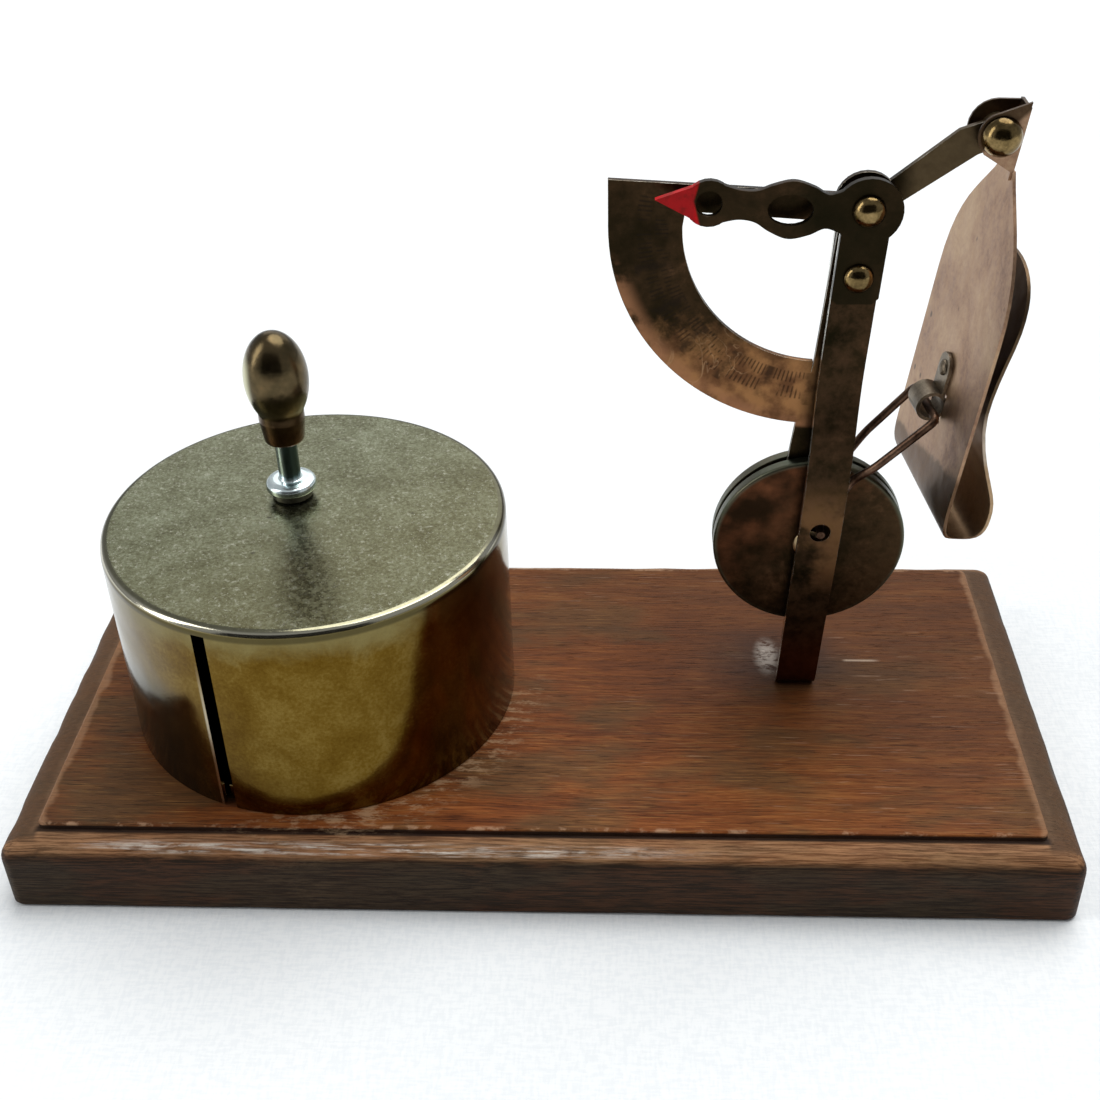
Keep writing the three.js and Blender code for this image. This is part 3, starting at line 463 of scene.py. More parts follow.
def make_lid_patina():
    """The cover's flat top: dull grey-olive patina, speckled with pale dust and small dark spots."""
    s = Shader("lid_patina")
    cloud = s.noise(0.16, 6, 0.68)
    mottle = s.noise(0.9, 5, 0.7)
    speck = s.noise(2.1, 4, 0.75)
    tone = s.plus(s.plus(s.times(cloud, 0.3), s.times(mottle, 0.2)), s.times(speck, 0.5))
    s.ground(tone, [
        (0.4, (0.066, 0.062, 0.028)), (0.5, (0.132, 0.135, 0.076)), (0.6, (0.225, 0.238, 0.16)),
    ])
    # Cooler towards the back left, browner at the front right.
    warm = s.ramp(s.minus(s.plus(s.x, s.times(cloud, 18)), s.y), -45, 5)
    s.coat(warm, 0.3, s.mix(speck, (0.11, 0.085, 0.032), (0.22, 0.19, 0.095)))
    grit = s.times(s.ramp(s.cells(2.3), 0.2, 0.08), s.ramp(s.noise(0.6, 3), 0.47, 0.6))
    s.coat(grit, 0.8, (0.62, 0.63, 0.54))
    flecks = s.ramp(s.noise(1.2, 4, 0.8, s.moved(shift=(6, 1, 0))), 0.57, 0.66)
    s.coat(flecks, 0.6, (0.42, 0.42, 0.33))
    dirt = s.ramp(s.noise(1.5, 5, 0.8, s.moved(shift=(1, 9, 0))), 0.44, 0.34)
    s.coat(dirt, 0.5, (0.055, 0.05, 0.025))
    dust = s.times(s.ramp(s.cells(1.1), 0.26, 0.1), s.ramp(mottle, 0.5, 0.6))
    s.coat(dust, 0.35, (0.5, 0.5, 0.42))
    smear = s.ramp(s.noise(0.42, 4, 0.7, s.moved((1, 1.7, 1), (4.2, 0, 0))), 0.6, 0.72)
    s.coat(smear, 0.55, (0.09, 0.08, 0.05))
    spots = s.ramp(s.cells(0.15, s.moved((1, 1.5, 1), (3.1, 0.4, 0))), 0.075, 0.03)
    s.coat(spots, 0.75, (0.035, 0.03, 0.02))
    roughness = s.plus(s.scaled(speck, 0.14, 0.34), s.times(s.ramp(mottle, 0.4, 0.65), 0.1))
    return s.finish(roughness, 0.96, s.bump(speck, 0.014))


# The board's levels and edges that its colours follow.
PANEL_TOP_FROM, PANEL_FOOT = 12.2, 11.9
PANEL_HALF_LENGTH, PANEL_HALF_DEPTH = 71.1, 31.6
POST_FOOT = (38.0, 7.0)
SCRAPE_AT = (35.3, 7.5)
SCORE_Y = 6.6


def make_wood():
    """Stained hardwood: fibres and dark pores along the board, pale worn edges, old scratches."""
    s = Shader("stained_wood")
    off_x, off_y = s.unsigned(s.x), s.unsigned(s.y)
    wander = s.noise(0.045, 3, 0.5, s.moved((0.35, 1, 1)))
    bent = s.add("ShaderNodeCombineXYZ")
    s.link(s.x, bent.inputs[0])
    s.link(s.plus(s.y, s.times(wander, 5)), bent.inputs[1])
    s.link(s.z, bent.inputs[2])
    grain_space = s.add("ShaderNodeMapping")
    s.link(bent.outputs[0], grain_space.inputs["Vector"])
    grain_space.inputs["Scale"].default_value = (0.045, 1.0, 1.0)
    rings = s.noise(0.55, 4, 0.6, grain_space.outputs[0], 0.3)
    fibre = s.noise(3.4, 5, 0.7, grain_space.outputs[0])
    cloud = s.noise(0.035, 5, 0.6)
    tone = s.plus(s.plus(s.times(rings, 0.28), s.times(fibre, 0.42)), s.times(cloud, 0.3))
    s.ground(tone, [
        (0.38, (0.048, 0.013, 0.004)), (0.46, (0.12, 0.033, 0.008)), (0.54, (0.195, 0.056, 0.013)),
        (0.62, (0.31, 0.11, 0.028)),
    ])
    # Duller olive patches, and fine amber streaks along the grain.
    dull = s.ramp(s.noise(0.075, 4, 0.6, s.moved((0.45, 1, 1), (7, 3, 0))), 0.47, 0.62)
    s.coat(dull, 0.55, s.mix(fibre, (0.034, 0.024, 0.009), (0.12, 0.078, 0.034)))
    amber = s.ramp(s.noise(4.5, 3, 0.6, s.moved((0.03, 1, 1), (1, 4, 0))), 0.56, 0.68)
    s.coat(s.times(amber, s.ramp(cloud, 0.4, 0.55)), 0.5, (0.34, 0.165, 0.05))
    # The right, the back and the left end of the board are browner and darker than the front.
    away_front = s.plus(s.plus(s.times(s.x, 0.6), s.times(s.y, 0.9)), s.times(cloud, 24))
    s.coat(s.ramp(away_front, -8, 56), 0.64, (0.056, 0.023, 0.008))
    at_left = s.ramp(s.plus(s.x, s.times(cloud, 22)), -38, -60)
    s.coat(at_left, 0.45, (0.05, 0.034, 0.017))
    pore = s.ramp(s.noise(6.5, 2, 0.6, grain_space.outputs[0]), 0.6, 0.7)
    s.coat(pore, 0.55, (0.022, 0.01, 0.008))
    # Fine cross scratches.
    scratch_space = s.moved((0.1, 1.6, 1.6), (2.0, 7.7, 0), (0, 0, math.radians(8)))
    scratch = s.ramp(s.noise(1.5, 2, 0.5, scratch_space), 0.665, 0.72)
    scratch = s.times(scratch, s.ramp(cloud, 0.48, 0.6))
    s.coat(scratch, 0.22, (0.46, 0.3, 0.2))
    # The raised panel's front and back edges are worn to bare wood here and there.
    rub = s.ramp(s.noise(0.45, 4, 0.7, s.moved((0.5, 0.5, 1))), 0.5, 0.62)
    panel_edge = s.ramp(off_y, PANEL_HALF_DEPTH - 0.9, PANEL_HALF_DEPTH - 0.2)
    panel_edge = s.times(panel_edge, s.ramp(s.z, PANEL_TOP_FROM, PANEL_TOP_FROM + 0.4))
    s.coat(s.times(panel_edge, rub), 0.75, (0.4, 0.24, 0.14))
    # A pale band wanders along the step at each end of the board.
    wandering = s.scaled(s.noise(0.18, 4, 0.6, s.moved(shift=(2, 2, 9))), -1.6, 1.6)
    end_band = s.between(s.plus(off_x, wandering), 69.6, 70.6, 71.6, 72.6)
    end_band = s.times(end_band, s.times(s.scaled(fibre, 0.5, 1.2), s.ramp(off_y, 33.0, 31.5)))
    s.coat(end_band, 0.55, (0.33, 0.185, 0.1))
    # The border below the panel is striped pale and dark, less so at the board's ends.
    border = s.ramp(s.z, PANEL_FOOT, PANEL_FOOT - 0.3)
    at_end = s.ramp(off_x, PANEL_HALF_LENGTH - 0.5, PANEL_HALF_LENGTH + 0.3)
    at_end = s.times(at_end, s.ramp(off_y, 34.2, 32.5))
    striped = s.mix(s.ramp(fibre, 0.38, 0.62), (0.12, 0.062, 0.029), (0.4, 0.225, 0.115))
    end_striped = s.mix(fibre, (0.034, 0.022, 0.013), (0.12, 0.072, 0.04))
    striped = s.mix(at_end, striped, end_striped)
    s.coat(border, s.scaled(at_end, 0.55, 0.75), striped)
    # The board's side is darker, greenish in places and reddish in others.
    side = s.ramp(s.z, 10.6, 9.6)
    reddish = s.ramp(s.noise(0.06, 4, 0.6, s.moved((0.5, 1, 1.5), (3, 3, 3))), 0.44, 0.56)
    darker_side = s.mix(reddish, (0.032, 0.024, 0.014), (0.05, 0.018, 0.008))
    darker_side = s.mix(s.ramp(fibre, 0.62, 0.4), darker_side, (0.012, 0.008, 0.005))
    s.coat(side, 0.9, darker_side)
    # Painted shade lies in the step round the panel, above all along the front.
    beside_front = s.ramp(off_y, 32.3, 31.9)
    beside_end = s.ramp(off_x, 71.9, 71.5)
    at_front = s.scaled(s.ramp(s.y, -30.5, -31.3), 0.2, 1.0)
    step_shade = s.times(s.times(s.ramp(s.z, 12.55, 12.3), at_front), s.times(beside_front, beside_end))
    step_shade = s.times(step_shade, s.ramp(off_x, 71.9, 70.9))
    s.coat(step_shade, 0.9, (0.008, 0.004, 0.003))
    # A painted shadow round the post's foot.
    foot_shadow_x = s.times(s.minus(s.x, POST_FOOT[0]), 0.55)
    foot_shadow_y = s.minus(s.y, POST_FOOT[1])
    away = s.plus(s.away_from(foot_shadow_x, foot_shadow_y), s.times(cloud, 9))
    s.coat(s.ramp(away, 15, 7), 0.75, (0.028, 0.016, 0.012))
    # Pale scrapes on the wood left of the foot, and a scored line right of it.
    scrape_x = s.minus(s.x, SCRAPE_AT[0])
    scrape_y = s.times(s.minus(s.y, SCRAPE_AT[1]), 0.45)
    scraped = s.ramp(s.away_from(scrape_x, scrape_y), 2.6, 0.6)
    scraped_wood = s.noise(0.9, 4, 0.7, s.moved((0.6, 1, 1), (2, 5, 0)))
    scraped = s.times(scraped, s.ramp(scraped_wood, 0.36, 0.58))
    s.coat(scraped, 0.6, (0.5, 0.44, 0.38))
    scored = s.ramp(s.unsigned(s.minus(s.y, SCORE_Y)), 0.35, 0.12)
    scored = s.times(scored, s.between(s.x, 47, 48, 51.5, 53.5))
    s.coat(scored, 0.6, (0.5, 0.38, 0.28))
    # Pale scuffs beside the dispenser's cover, where it has been put down off its seat.
    out_x, out_y = s.minus(s.x, can_centre.x), s.minus(s.y, can_centre.y)
    off_wall = s.minus(s.away_from(out_x, out_y), can_radius)
    to_front_right = s.minus(s.times(out_x, 0.8), out_y)
    scuffed = s.times(s.ramp(off_wall, 7.5, 0.5), s.ramp(to_front_right, 20, 32))
    scuffed_wood = s.noise(0.8, 5, 0.75, s.moved((0.35, 1, 1), (4, 4, 0)))
    scuffed = s.times(scuffed, s.ramp(scuffed_wood, 0.48, 0.62))
    s.coat(scuffed, 0.6, (0.42, 0.27, 0.15))
    # A painted highlight in streaks along the moulding's shoulder at the front, most of all before
    # the dispenser.
    shoulder = s.between(s.z, 10.3, 10.8, 11.1, 11.5)
    streaks = s.ramp(s.noise(2.2, 4, 0.65, s.moved((0.045, 1, 1))), 0.42, 0.64)
    broken = s.ramp(s.noise(0.9, 4, 0.7, s.moved((0.35, 1, 1), (8, 0, 0))), 0.3, 0.62)
    shoulder_highlight = s.times(s.times(shoulder, streaks), s.times(broken, s.between(s.x, -70, -50, -8, 34)))
    s.coat(shoulder_highlight, 0.9, (0.66, 0.6, 0.52))
    roughness = s.plus(s.scaled(rings, 0.46, 0.62), s.times(side, -0.05))
    relief = s.minus(fibre, s.times(pore, 0.8))
    return s.finish(roughness, 0.0, s.bump(relief, 0.05), 0.09)


def make_plain_metal(name, dark, light, rough, scale=0.8, relief=0.008):
    s = Shader(name)
    mottle = s.noise(scale, 5, 0.65)
    fine = s.noise(6, 3, 0.6)
    tone = s.plus(s.times(mottle, 0.7), s.times(fine, 0.3))
    s.ground(tone, [(0.35, dark), (0.65, light)])
    return s.finish(s.scaled(mottle, *rough), 1.0, s.bump(fine, relief))


def make_zinc():
    """The plated spindle: bright, with a bluish cast; its shaft painted lit on its left and shaded
    along its right.
    """
    s = Shader("zinc_plate")
    mottle = s.noise(0.8, 5, 0.65)
    flange_colour = s.mix(mottle, (0.62, 0.76, 0.77), (0.92, 0.98, 0.97))
    # Painted light and shade: the shaft's left is lit, its right shaded.
    shaft_lit_and_shaded = s.mix(s.ramp(s.x, -37.4, -36.6), (0.62, 0.74, 0.78), (0.13, 0.19, 0.18))
    s.colour = s.mix(s.ramp(s.z, 48.5, 49.2), flange_colour, shaft_lit_and_shaded)
    return s.finish(s.scaled(mottle, 0.12, 0.3), 1.0, s.bump(s.noise(6, 3, 0.6), 0.008))


tray_brass = make_tray_brass()
wall_brass = make_wall_brass()
lid_patina = make_lid_patina()
wood = make_wood()
zinc = make_zinc()
steel = make_plain_metal("dark_steel", (0.1, 0.095, 0.085), (0.24, 0.225, 0.2), (0.3, 0.5))
lug_metal = make_plain_metal(
    "lug_metal", (0.085, 0.066, 0.045), (0.26, 0.21, 0.15), (0.3, 0.5), scale=0.5, relief=0.03)
spacer_brass = make_plain_metal(
    "spacer_brass", (0.28, 0.2, 0.11), (0.52, 0.4, 0.23), (0.25, 0.45))


# ---------------------------------------------------------------- mesh building

def settle(name, mesh, body, materials, stands_for, sharp=40.0):
    """Makes a smooth-shaded piece of the mesh, ties it to its CAD body and hides the CAD nodes it
    stands for.
    """
    piece = new_object(name, mesh)
    for material in materials:
        mesh.materials.append(material)
    mesh.shade_smooth()
    mesh.set_sharp_from_angle(angle=math.radians(sharp))
    weighted = piece.modifiers.new("weighted", "WEIGHTED_NORMAL")
    weighted.keep_sharp = True
    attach(piece, body)
    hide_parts(*stands_for)


def to_mesh(name, bm):
    bmesh.ops.recalc_face_normals(bm, faces=bm.faces)
    bm.transform(Matrix.Scale(MM, 4))
    mesh = bpy.data.meshes.new(name)
    bm.to_mesh(mesh)
    bm.free()
    return mesh


def curved(start, corner, end, steps):
    """Points of a curve that leaves start and reaches end, drawn towards the corner."""
    shares = [k / steps for k in range(steps + 1)]
    return [start * (1 - t) ** 2 + corner * 2 * t * (1 - t) + end * t * t for t in shares]


def softened(points, radius, steps=4):
    """A profile with its inner corners rounded to the radius, or to a point's own radius."""
    largest_share = 0.48
    straight, too_small = 1e-3, 1e-4
    out = [Vector(points[0][:2])]
    for i in range(1, len(points) - 1):
        before, at, after = (Vector(points[k][:2]) for k in (i - 1, i, i + 1))
        r = points[i][2] if len(points[i]) > 2 else radius
        into, away = (before - at), (after - at)
        turn = into.angle(away)
        wanted = r / math.tan(turn / 2) if turn < math.pi - straight else 0
        reach = min(wanted, into.length * largest_share, away.length * largest_share)
        if reach < too_small:
            out.append(at)
            continue
        out += curved(at + into.normalized() * reach, at, at + away.normalized() * reach, steps)
    out.append(Vector(points[-1][:2]))
    return out


def circle(radius, segments):
    """Points (across, along) round a circle."""
    angles = [2 * math.pi * k / segments for k in range(segments)]
    return [(radius * math.cos(a), radius * math.sin(a)) for a in angles]


def lathed(profile, centre, segments=96, axis="Z"):
    """A solid of revolution from (radius, height) pairs, whose ends meet or lie on the axis."""
    on_axis, same_place = 1e-5, 1e-4
    bm = bmesh.new()
    rings = []
    for radius, height in profile:
        places = [(0, 0)] if radius < on_axis else circle(radius, segments)
        rings.append([bm.verts.new((x, y, height)) for x, y in places])
    for lower, upper in zip(rings, rings[1:]):
        for k in range(segments):
            n = (k + 1) % segments
            below = [lower[k % len(lower)], lower[n % len(lower)]]
            above = [upper[n % len(upper)], upper[k % len(upper)]]
            unique = list(dict.fromkeys(below + above))
            if len(unique) > 2:
                bm.faces.new(unique)
    bmesh.ops.remove_doubles(bm, verts=bm.verts, dist=same_place)
    if axis == "Y":
        bm.transform(Matrix.Rotation(-math.pi / 2, 4, "X"))
    bm.transform(Matrix.Translation(centre))
    return bm


def skin(bm, rings):
    """Faces from each ring to the next, and one over each end."""
    count = len(rings[0])
    for lower, upper in zip(rings, rings[1:]):
        for k in range(count):
            n = (k + 1) % count
            bm.faces.new((lower[k], lower[n], upper[n], upper[k]))
    bm.faces.new(rings[0])
    bm.faces.new(rings[-1])


def refined(node, bevel, sharp=35.0):
    """The CAD node's own shape with its flat faces joined up and its sharp edges worn round."""
    same_place, flat, too_short = 2e-3, 0.6, 0.02
    bm = bmesh.new()
    bm.from_mesh(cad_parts[node].data)
    bm.transform(Matrix.Scale(1 / MM, 4))
    for layer in list(bm.loops.layers.uv):
        bm.loops.layers.uv.remove(layer)
    bmesh.ops.remove_doubles(bm, verts=bm.verts, dist=same_place)
    bmesh.ops.dissolve_limit(bm, angle_limit=math.radians(flat), verts=bm.verts, edges=bm.edges)
    for face in bm.faces:
        face.material_index = 0
    inner = [e for e in bm.edges if len(e.link_faces) == 2]
    folds = [e for e in inner if e.calc_face_angle(0) > math.radians(sharp)]
    edges = [e for e in folds if e.calc_length() > too_short]
    bmesh.ops.bevel(
        bm, geom=edges, offset=bevel, segments=2, profile=0.5, affect="EDGES", clamp_overlap=True,
        material=1)
    return bm


# ---------------------------------------------------------------- board

# The board's edge from the floor up to the step: distance in from the front, height, corner radius.
OVOLO = [
    (0.5, 0.0, 1.6), (0.2, 0.1, 1.7), (0.0, 0.5, 1.8), (0.0, 3.0, 1.8), (0.0, 6.0, 1.8),
    (0.0, 8.4, 1.8), (0.05, 9.1, 1.8), (0.2, 9.7, 1.7), (0.42, 10.15, 1.6), (0.75, 10.55, 1.5),
    (1.2, 10.9, 1.3), (1.8, 11.2, 1.2), (2.6, 11.48, 1.1), (3.4, 11.64, 1.0),
]
PANEL_INSET, PANEL_END_INSET, PANEL_RISE = 3.9, 5.1, 1.0
DENT_DEPTH, DENT_PITCH, DENT_RISE = 0.25, 0.16, 0.4
FLAT_DENT_SHARE = 0.12


def rounded_ring(length, depth, corner, long_steps=60, short_steps=28, corner_steps=8):
    """Points round a rounded rectangle, always as many, anticlockwise from the right-hand front."""
    hx, hy = length / 2 - corner, depth / 2 - corner
    corners = [(hx, -hy), (hx, hy), (-hx, hy), (-hx, -hy)]
    points = []
    for side in range(4):
        start, end = Vector(corners[side]), Vector(corners[(side + 1) % 4])
        facing = math.radians(90 * side)
        outward = Vector((math.cos(facing), math.sin(facing))) * corner
        steps = (short_steps, long_steps)[side % 2]
        for k in range(steps):
            points.append(start.lerp(end, k / steps) + outward)
        for k in range(corner_steps):
            angle = facing + math.pi / 2 * k / corner_steps
            points.append(end + Vector((math.cos(angle), math.sin(angle))) * corner)
    return points


def make_board():
    """The moulded board: an ovolo edge, a small step up to the raised panel, dented edges."""
    low, high = box_mm("base_board")
    length, depth, top = high.x - low.x, high.y - low.y, high.z
    inset, foot = PANEL_INSET, top - PANEL_RISE
    step = [
        (inset - 0.1, foot), (inset, foot + 0.05), (inset + 0.02, top - 0.26),
        (inset + 0.1, top - 0.08), (inset + 0.3, top), (inset + 2.5, top),
    ]
    bm = bmesh.new()
    rings = []
    for inward, height, corner in OVOLO + [(*level, 1.0) for level in step]:
        on_edge = 0.1 < inward < 1.3 or abs(inward - inset - 0.1) < 0.05
        share = 1.0 if on_edge else FLAT_DENT_SHARE
        inward_end = inward * PANEL_END_INSET / inset
        ring = []
        for point in rounded_ring(length - 2 * inward_end, depth - 2 * inward, corner):
            # Dents only ever go inwards, and downwards above the board's side.
            where = Vector((point.x * DENT_PITCH, point.y * DENT_PITCH, height * DENT_RISE))
            dent = max(0.0, noise.noise(where)) * DENT_DEPTH * share
            shrink = 1 - dent / (depth / 2)
            sunk = dent * 0.4 if height > 6 else 0
            ring.append(bm.verts.new((point.x * shrink, point.y * shrink, height - sunk)))
        rings.append(ring)
    skin(bm, rings)
    settle("board", to_mesh("board", bm), "root", [wood], ["base_board"])


make_board()


# ---------------------------------------------------------------- dispenser

def upright(node):
    """The node's box and the foot of the upright line through its middle."""
    low, high = box_mm(node)
    centre = (low + high) / 2
    return low, high, (centre.x, centre.y, 0)


def make_cover():
    """The drawn cup: rounded rim, a slot down its wall and a hole for the spindle."""
    rim, lip = 1.4, 0.18
    hole_radius, past = 2.3, 3
    slot_depth, slot_past = 6, 4
    inside, under_top = can_radius - WALL, can_top - WALL
    outer = [
        (inside, can_bottom), (can_radius, can_bottom, lip), (can_radius, can_top, rim), (0, can_top),
    ]
    inner = [(0, under_top), (inside, under_top, rim - WALL), (inside, can_bottom)]
    profile = [*softened(outer, rim, 10), *softened(inner, rim, 6)]
    can_foot = (can_centre.x, can_centre.y, 0)
    cup = new_object("cover_cup", to_mesh("cover", lathed(profile, can_foot, 192)))
    height = can_top - SLOT_BELOW_TOP - can_bottom + slot_past
    slot_bm = bmesh.new()
    bmesh.ops.create_cube(slot_bm, size=1)
    slot_bm.transform(
        Matrix.Translation(can_foot)
        @ Matrix.Rotation(-SLOT_TURN, 4, "Z")
        @ Matrix.Translation((0, -can_radius, can_bottom - slot_past + height / 2))
        @ Matrix.Diagonal((SLOT_WIDTH, slot_depth, height, 1))
    )
    hole_low, hole_high = can_top - past, can_top + past
    hole = [(0, hole_low), (hole_radius, hole_low), (hole_radius, hole_high), (0, hole_high)]
    spindle_foot = upright("knob_spindle")[2]
    tools = []
    for name, tool_bm in (("slot_tool", slot_bm), ("hole_tool", lathed(hole, spindle_foot, 48))):
        tool = new_object(name, to_mesh(name, tool_bm))
        cut = cup.modifiers.new(name, "BOOLEAN")
        cut.operation = "DIFFERENCE"
        cut.solver = "EXACT"
        cut.object = tool
        tools.append(tool)
    done = bpy.data.meshes.new_from_object(cup.evaluated_get(bpy.context.evaluated_depsgraph_get()))
    done.name = "cover"
    for spare in (cup, *tools):
        bpy.data.objects.remove(spare)
    # The flat top has its own patina.
    done.materials.clear()
    for face in done.polygons:
        flat_top = face.center.z > (can_top - 0.02) * MM and face.normal.z > 0.99
        face.material_index = 1 if flat_top else 0
    materials = [wall_brass, lid_patina]
    settle("cover", done, "cover", materials, ["dispenser_cover"], 30)


def make_dish():
    """The shallow dish that the cover stands in."""
    low, high, foot = upright("dispenser_base")
    sheet = 0.8
    r = (high.x - low.x) / 2
    inside, floor_top = r - sheet, low.z + sheet
    profile = softened([
        (0, low.z), (r, low.z, 0.7), (r, high.z, 0.3), (inside, high.z, 0.3),
        (inside, floor_top, 0.5), (0, floor_top),
    ], 0.3)
    mesh = to_mesh("dish", lathed(profile, foot, 128))
    settle("dish", mesh, "root", [wall_brass], ["dispenser_base"])


def make_hub():
    """The tube with a foot flange that the coil turns on."""
    low, high, foot = upright("roll_hub")
    flange_width, flange_height, wall = 3, 0.8, 1
    edge = (high.x - low.x) / 2
    tube = edge - flange_width
    bore, flange_top = tube - wall, low.z + flange_height
    profile = softened([
        (bore, low.z), (edge, low.z, 0.2), (edge, flange_top, 0.2), (tube, flange_top, 0.5),
        (tube, high.z, 0.3), (bore, high.z, 0.3), (bore, low.z),
    ], 0.3)
    mesh = to_mesh("hub", lathed(profile, foot, 72))
    settle("hub", mesh, "root", [wall_brass], ["roll_hub"])


def make_knob():
    """The egg-shaped handle on its collar."""
    low, high, foot = upright("knob")
    egg, bottom, top = (high.x - low.x) / 2, low.z, high.z
    collar, shoulder, bore, bore_depth = 3.0, 3.3, 1.95, 4
    egg_bottom = bottom + 5.0
    egg_middle = egg_bottom + (top - egg_bottom) * 0.42
    stem = softened([
        (bore, bottom + bore_depth), (bore, bottom, 0.05), (collar - 0.15, bottom, 0.5),
        (collar, bottom + 1.2, 1.0), (shoulder, bottom + 3.6, 0.5), (shoulder, egg_bottom - 0.35),
    ], 0.3)
    egg_points = []
    steps = 26
    begin = -math.acos(min(1, (shoulder + 0.02) / egg))
    for i in range(steps + 1):
        angle = begin + (math.pi / 2 - begin) * i / steps
        rise = (egg_middle - egg_bottom) / -math.sin(begin) if angle < 0 else top - egg_middle
        radius = egg * math.cos(angle) if i < steps else 0
        egg_points.append((radius, egg_middle + rise * math.sin(angle)))
    mesh = to_mesh("knob_handle", lathed([(0, bottom + bore_depth), *stem, *egg_points], foot, 96))
    settle("knob_handle", mesh, "knob", [knob_brass], ["knob"])


def make_spindle():
    """The knob's spindle: a shaft with a round flange over a steel seat."""
    low, high, foot = upright("knob_spindle")
    shaft, seat_radius = 1.6, 3.0
    flange = (high.x - low.x) / 2
    seat = can_top + 0.3
    rim_low, rim_high = seat + 1.2, seat + 2.8
    end = box_mm("knob")[0].z + 2.5
    profile = softened([
        (0, low.z), (shaft, low.z, 0.3), (shaft, seat - 0.05, 0.02), (seat_radius, seat, 0.1),
        (seat_radius, rim_low, 0.1), (flange, rim_low, 0.55), (flange, rim_high - 0.3, 0.8),
        (flange - 1.2, rim_high, 0.6), (shaft, rim_high + 0.05, 0.3), (shaft, end, 0.01), (0, end),
    ], 0.3, 5)
    mesh = to_mesh("spindle", lathed(profile, foot, 72))
    for face in mesh.polygons:
        face.material_index = 1 if face.center.z < (rim_low + 0.02) * MM else 0
    settle("spindle", mesh, "knob", [zinc, steel], ["knob_spindle"])


make_cover()
make_dish()
make_hub()
make_knob()
make_spindle()


# ---------------------------------------------------------------- scale

def make_refined(name, node, body, slot, materials, bevel, glint_sides=False):
    """A sheet piece. Its second material is for its rounded edges, and for its sides where they are
    given a painted glint.
    """
    bm = refined(node, bevel)
    # Sides facing along x get the edge material too, for a painted glint.
    if glint_sides:
        for face in bm.faces:
            if abs(face.normal.x) > 0.9:
                face.material_index = 1
    settle(name, to_mesh(name, bm), body, materials, [node], 50)


# Each sheet piece: piece, node, body, slot, (faces, worn edges with any painted highlight), the
# edges' width, sides with a painted glint.
SHEET_PIECES = [
    ("post", "post_strip", "root", "tarnished_brass", (post_brass, post_glint), 0.18, True),
    ("bracket", "pointer_bracket", "root", "tarnished_brass", (bracket_brass, bracket_brass), 0.12),
    ("beam", "quadrant_beam", "beam", "tarnished_brass", (dial_brass, edge_brass), 0.11),
    ("tray", "letter_tray", "tray", "worn_brass", (tray_brass, edge_brass), 0.08),
    ("lug", "tray_lug", "tray", "grey_lug", (lug_metal, lug_metal), 0.1),
]
for sheet_piece in SHEET_PIECES:
    make_refined(*sheet_piece)


def make_rivet(name, node, body, slot, material, shank, seats, heads):
    """A rivet along y with a full ball of a head in front and a flatter one behind."""
    low, high = box_mm(node)
    centre = (low + high) / 2
    (face, tail), (head, tail_head) = seats, heads
    steps = 14
    quarter = [math.pi / 2 * i / steps for i in range(steps + 1)]
    front = [(head * math.sin(a), face - (face - low.y) * math.cos(a)) for a in quarter]
    back = [(tail_head * math.cos(a), tail + (high.y - tail) * math.sin(a)) for a in quarter]
    front[0] = (0, low.y)
    back[-1] = (0, high.y)
    bm = lathed([*front, (shank, face), (shank, tail), *back], (centre.x, 0, centre.z), 64, "Y")
    settle(name, to_mesh(name, bm), body, [material], [node], 50)


# The scale's middle plane, and the planes that its rivets' heads sit on.
MIDDLE = 4.6
POST_HALF, BRACKET_THICKNESS, GAP = 2.6, 0.9, 0.05
EAR_HALF, WEIGHT_HALF = 2.2, 2.3
post_front, post_back = MIDDLE - POST_HALF, MIDDLE + POST_HALF
bracket_seat = post_front - GAP - BRACKET_THICKNESS - GAP
# Each rivet: piece, node, body, slot, material, shank, (front seat, rear seat), (head, rear head).
RIVETS = [
    ("bracket_ball", "bracket_rivet", "root", "rivet_brass", rivet_brass, 0.9,
     (bracket_seat, post_front + 1.05), (2.0, 1.3)),
    ("pivot_ball", "pivot_pin", "root", "rivet_brass", rivet_brass, 1.05,
     (bracket_seat, post_back + GAP), (2.15, 1.9)),
    ("tray_ball", "tray_pivot_rivet", "tray", "rivet_brass", rivet_brass, 0.9,
     (MIDDLE - EAR_HALF, MIDDLE + EAR_HALF), (2.55, 1.9)),
    ("weight_stud", "weight_rivet", "beam", "worn_brass", spacer_brass, 1.1,
     (MIDDLE - WEIGHT_HALF, MIDDLE + WEIGHT_HALF), (2.3, 2.3)),
]
for rivet in RIVETS:
    make_rivet(*rivet)


def make_weight(name, node, side):
    """One of the weight's two discs. Its outer rim is rounder than its inner one."""
    low, high = box_mm(node)
    centre = (low + high) / 2
    radius, hole = (high.x - low.x) / 2, 1.35
    inner, outer = (high.y, low.y) if side < 0 else (low.y, high.y)
    profile = softened([
        (hole, inner), (radius, inner, 0.12), (radius, outer, 0.55), (hole, outer), (hole, inner),
    ], 0.3, 6)
    bm = lathed(profile, (centre.x, 0, centre.z), 128, "Y")
    settle(name, to_mesh(name, bm), "beam", [weight_brass], [node])


make_weight("weight_front", "weight_shell_front", -1)
make_weight("weight_rear", "weight_shell_rear", 1)


